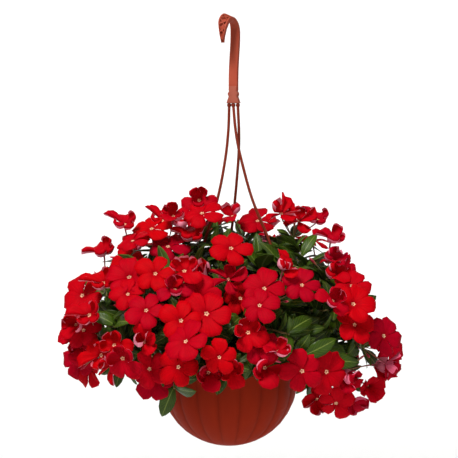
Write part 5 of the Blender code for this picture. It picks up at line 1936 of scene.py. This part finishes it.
# %% Potting mix in the bowl
MIX_RINGS = 26
MIX_STEPS = 96
MIX_FOOT_Z = 0.0026
inset = BOWL_WALL + GAP + 0.0003
edge = bowl_radius(SOIL_EDGE_Z) - inset
profile = [(0, SOIL_CROWN_Z)]
for i in range(1, MIX_RINGS + 1):
    share = i / MIX_RINGS
    profile.append((edge * share, SOIL_CROWN_Z + (SOIL_EDGE_Z - SOIL_CROWN_Z) * share**3))
profile += [(bowl_radius(z) - inset, z) for z in (0.080, 0.060, 0.031, 0.013)]
profile += [(bowl_radius(0.0) - inset, MIX_FOOT_Z), (0, MIX_FOOT_Z)]
mix = turned("potting_mix", profile, MIX_STEPS)
crust = [1.0 if (v.index - 1) // MIX_STEPS + 1 < MIX_RINGS else 0.0 for v in mix.data.vertices]
mix.data.attributes.new("crust", "FLOAT", "POINT").data.foreach_set("value", crust)
mix = run_tree(mix, crumb_tree)
drop_values(mix, "crust")
stand_in(mix, "soil")
print("potting mix:", triangles["soil"], "triangles")

# %% [markdown]
# ## The hanger
#
# The hook is a flat strip of plastic made stiff by its section: a channel, open to the outside of the
# curve, with crossed ribs in it. A section carried along the hook's line gives the channel, and a
# tree of nodes sets the ribs across it, in pairs that lean opposite ways.

# %% The hook's line and section
ARCH_STEPS = 12
TIP_FROM = 0.010
TIP_REACH = 0.009
TIP_TOP_Z = 0.588
TIP_DROP = 0.026
TIP_NARROWING = 0.76
SIDE = HOOK_HEADING.cross(UP)
HALF = HOOK_THICKNESS / 2
# The section: across the strip, and out of the curve. The channel is 3.5 mm deep in a 5.5 mm strip.
WEB = HALF - 0.0035
SECTION = [
    (-0.0065, -HALF), (0.0065, -HALF), (0.0065, HALF), (0.0047, HALF),
    (0.0047, WEB), (-0.0047, WEB), (-0.0047, HALF), (-0.0065, HALF),
]
# The hook's middle line in its own plane: across towards the tip, and up
hook_line = [(HUB_OFFSET, HUB_TOP_Z - 0.006), (HUB_OFFSET - 0.0004, 0.520)]
hook_line += [(-0.0160, 0.544), (-0.0185, 0.564)]
for k in range(ARCH_STEPS + 1):
    a = math.pi * (1 - k / ARCH_STEPS)
    hook_line.append((math.cos(a) * HOOK_ARCH_RADIUS, HOOK_ARCH_Z + math.sin(a) * HOOK_ARCH_RADIUS))
hook_line += [(0.0192, 0.571), (0.0178, 0.5615)]
coarse = [HOOK_HEADING * x + Vector((0, 0, z)) for x, z in hook_line]
hook_path = smooth_path([coarse[0] * 2 - coarse[1], *coarse, coarse[-1] * 2 - coarse[-2]], 3)


def taper(point):
    """The hook narrows towards its tip, which is past the arch's top and below it."""
    past = max(0.0, min(1.0, (point.dot(HOOK_HEADING) - TIP_FROM) / TIP_REACH))
    below = max(0.0, min(1.0, (TIP_TOP_Z - point.z) / TIP_DROP))
    return 1 - TIP_NARROWING * (past * below)


print("the hook's line has", len(hook_path), "points")

# %% The rib tree
rib_tree, add, given, end = new_tree(
    "crossed ribs along a line",
    spacing=0.0105,
    rib_width=0.0012,
    rib_height=0.0034,
    rib_length=0.0135,
    lean=0.80,
    side=tuple(SIDE),
)
line = add("GeometryNodeMeshToCurve", {"Mesh": given["Geometry"]})
stations = add("GeometryNodeResampleCurve", {"Curve": line, "Length": given["spacing"]}, mode="LENGTH")
tangent = add("GeometryNodeInputTangent")
across_line = add("FunctionNodeAlignRotationToVector", {"Vector": given["side"]}, axis="Z")
turning = {"Rotation": across_line, "Vector": tangent}
along_line = add("FunctionNodeAlignRotationToVector", turning, axis="X", pivot_axis="Z")
rib_size = {"X": given["rib_width"], "Y": given["rib_height"], "Z": given["rib_length"]}
rib = add("GeometryNodeMeshCube", {"Size": add("ShaderNodeCombineXYZ", rib_size)})
narrowing = add("GeometryNodeInputNamedAttribute", {"Name": "narrowing"}, data_type="FLOAT")
narrow = add("ShaderNodeCombineXYZ", {"X": 1.0, "Y": 1.0, "Z": narrowing})
ribs = []
for sign in (1.0, -1.0):
    lean = add("ShaderNodeMath", {0: given["lean"], 1: sign}, operation="MULTIPLY")
    turning = {"Rotation": along_line, "Rotate By": add("ShaderNodeCombineXYZ", {"Y": lean})}
    leaning = add("FunctionNodeRotateRotation", turning, rotation_space="LOCAL")
    placing = {"Points": stations, "Instance": rib, "Rotation": leaning, "Scale": narrow}
    ribs.append(add("GeometryNodeInstanceOnPoints", placing))
crossed = add("GeometryNodeJoinGeometry", {"Geometry": ribs})
real_ribs = add("GeometryNodeRealizeInstances", {"Geometry": crossed})
feed(end, {"Geometry": add("GeometryNodeSetMaterial", {"Geometry": real_ribs, "Material": brick})})
print("the rib tree has", len(rib_tree.nodes), "nodes")

# %% Strip and hub
# The hub's right half as it is seen from the front: across from its middle, and up
HUB_OUTLINE = [
    (0.0062, HUB_TOP_Z), (0.0057, 0.4955), (0.0076, 0.4930), (0.0074, 0.4912),
    (0.0062, 0.4885), (0.0076, 0.4850), (0.0098, HUB_BOTTOM_Z),
]
TIP_THINNING = (0.34, 0.62, 0.80, 0.92)


def swept_strip(path):
    """The section carried along the line, narrowing as the hook does, with closed ends."""
    points = []
    for i, p in enumerate(path):
        out = SIDE.cross(heading_at(path, i).normalized())
        ends = len(path) - 1 - i
        thin = TIP_THINNING[ends] if ends < len(TIP_THINNING) else 1.0
        points += [p + SIDE * across * taper(p) + out * height * thin for across, height in SECTION]
    n = len(SECTION)
    faces = bands(len(path), n)
    for start in (0, (len(path) - 1) * n):
        faces += [tuple(start + k for k in corner) for corner in ((0, 5, 6, 7), (0, 1, 4, 5), (1, 2, 3, 4))]
    return points, faces


def hub_plate():
    """The hub's outline as a plate that stands across the hook's heading."""
    outline = HUB_OUTLINE + [(-w, z) for w, z in reversed(HUB_OUTLINE)]
    points = []
    for depth in (-HUB_THICKNESS / 2, HUB_THICKNESS / 2):
        for across, z in outline:
            points.append(HOOK_HEADING * (HUB_OFFSET + depth) + SIDE * across + Vector((0, 0, z)))
    n = len(outline)
    faces = [(k, (k + 1) % n, (k + 1) % n + n, k + n) for k in range(n)]
    for start in (0, n):
        for k in range(len(HUB_OUTLINE) - 1):
            faces.append(tuple(start + j for j in (k, k + 1, n - 2 - k, n - 1 - k)))
    return points, faces


def bevelled(name, shape, width, segments, material_index):
    """The mesh of a closed body with rounded edges, in one of the hook's two materials."""
    obj = new_body(name, *shape, weld=1e-7)
    edge = obj.modifiers.new("Rounded edges", "BEVEL")
    edge.width = width
    edge.segments = segments
    edge.limit_method = "ANGLE"
    edge.angle_limit = math.radians(35)
    body = applied(obj)
    mesh = body.data
    bpy.data.objects.remove(body)
    mesh.shade_smooth()
    mesh.set_sharp_from_angle(angle=math.radians(40))
    mesh.polygons.foreach_set("material_index", [material_index] * len(mesh.polygons))
    return mesh


strip = bevelled("strip", swept_strip(hook_path), 0.00035, 2, 0)
hub = bevelled("hub", hub_plate(), 0.0009, 3, 1)
print("strip and hub:", len(strip.polygons), "and", len(hub.polygons), "faces")

# %% Hook, ribs and hub in one piece
ROLL_FROM_Z = 0.562
ROLL_RISE = 0.016
channel = hook_path[2:-2]
middle = WEB + 0.0016
rail_points = [p + SIDE.cross(heading_at(channel, i).normalized()) * middle for i, p in enumerate(channel)]
rail = bpy.data.meshes.new("rib_line")
rail.from_pydata(rail_points, [(i, i + 1) for i in range(len(channel) - 1)], [])
narrowing = [taper(p) * 0.97 for p in channel]
rail.attributes.new("narrowing", "FLOAT", "POINT").data.foreach_set("value", narrowing)
ribs = run_tree(bpy.data.objects.new("ribs", rail), rib_tree).data
ribs.polygons.foreach_set("material_index", [0] * len(ribs.polygons))
work = bmesh.new()
for mesh in (strip, hub, ribs):
    work.from_mesh(mesh)
hook = bpy.data.meshes.new("hanger_hook_fine")
work.to_mesh(hook)
work.free()
# In the arch the strip slopes across its width: one edge stands higher than the other
for v in hook.vertices:
    v.co.z += HOOK_ROLL * v.co.dot(SIDE) * max(0.0, min(1.0, (v.co.z - ROLL_FROM_Z) / ROLL_RISE))
hook.materials.append(brick)
hook.materials.append(lit_hub_plastic)
stand_in(bpy.data.objects.new("hanger_hook_fine", hook), "hanger_hook")
print("hook:", triangles["hanger_hook"], "triangles")

# %% [markdown]
# The legs are round rods of the same plastic. Each has a collar where it leaves the hub, another on
# top of the flange, and a barb under it that snaps through the hole and can't come back. The sprig
# tree makes them too: a leg is a wire whose girth says where the collars are.

# %% Legs
LEG_SIDES = 12
COLLAR_RADIUS = 0.0029
SEAT_RADIUS = 0.0034
BARB_RADIUS = 0.0036
# How far from the hub, from the flange's top and from its underside, and how thick each is there
COLLAR = ((0.0006, LEG_RADIUS), (0.0012, COLLAR_RADIUS), (0.0036, COLLAR_RADIUS), (0.0050, LEG_RADIUS))
SEAT = ((0.0, SEAT_RADIUS), (0.0014, SEAT_RADIUS), (0.0030, LEG_RADIUS))
BARB = ((0.0, BARB_RADIUS), (-0.003, 0.0026), (-0.006, 0.0012))

for name in LEGS:
    path = leg_path(name)
    top, foot = path[1], path[-1]
    down = (path[2] - path[1]).normalized()
    rods = [[(p, LEG_RADIUS) for p in path], [(top + down * at, radius) for at, radius in COLLAR]]
    for start, stations in ((FLANGE_Z + FLANGE_THICKNESS + GAP, SEAT), (FLANGE_Z - GAP, BARB)):
        rods.append([(Vector((foot.x, foot.y, start + rise)), radius) for rise, radius in stations])
    sprig = Sprig()
    for rod in rods:
        sprig.wire(*zip(*rod), [0.0] * len(rod))
    leg = sprig.finished(f"leg_{name}", wire_sides=LEG_SIDES, wire_finish=LEG_FINISH, steps_per_wire_point=5)
    leg.data.set_sharp_from_angle(angle=math.radians(40))
    stand_in(leg, f"hanger_leg_{name}")
print("legs:", [triangles[f"hanger_leg_{name}"] for name in LEGS], "triangles")

# %% [markdown]
# ## Sizes at the end
#
# The dressed plant may stand only a little proud of its solids. Both boxes are kept for comparison.

# %% Both boxes
visual_box = [list(corner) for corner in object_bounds()]
for axis in range(3):
    size = cad_box[1][axis] - cad_box[0][axis]
    proud = max(cad_box[0][axis] - visual_box[0][axis], visual_box[1][axis] - cad_box[1][axis])
    print("xyz"[axis], "solids", round(size / MM, 1), "mm, stands proud by", round(proud / MM, 1), "mm")
print(sum(triangles.values()), "triangles in all")
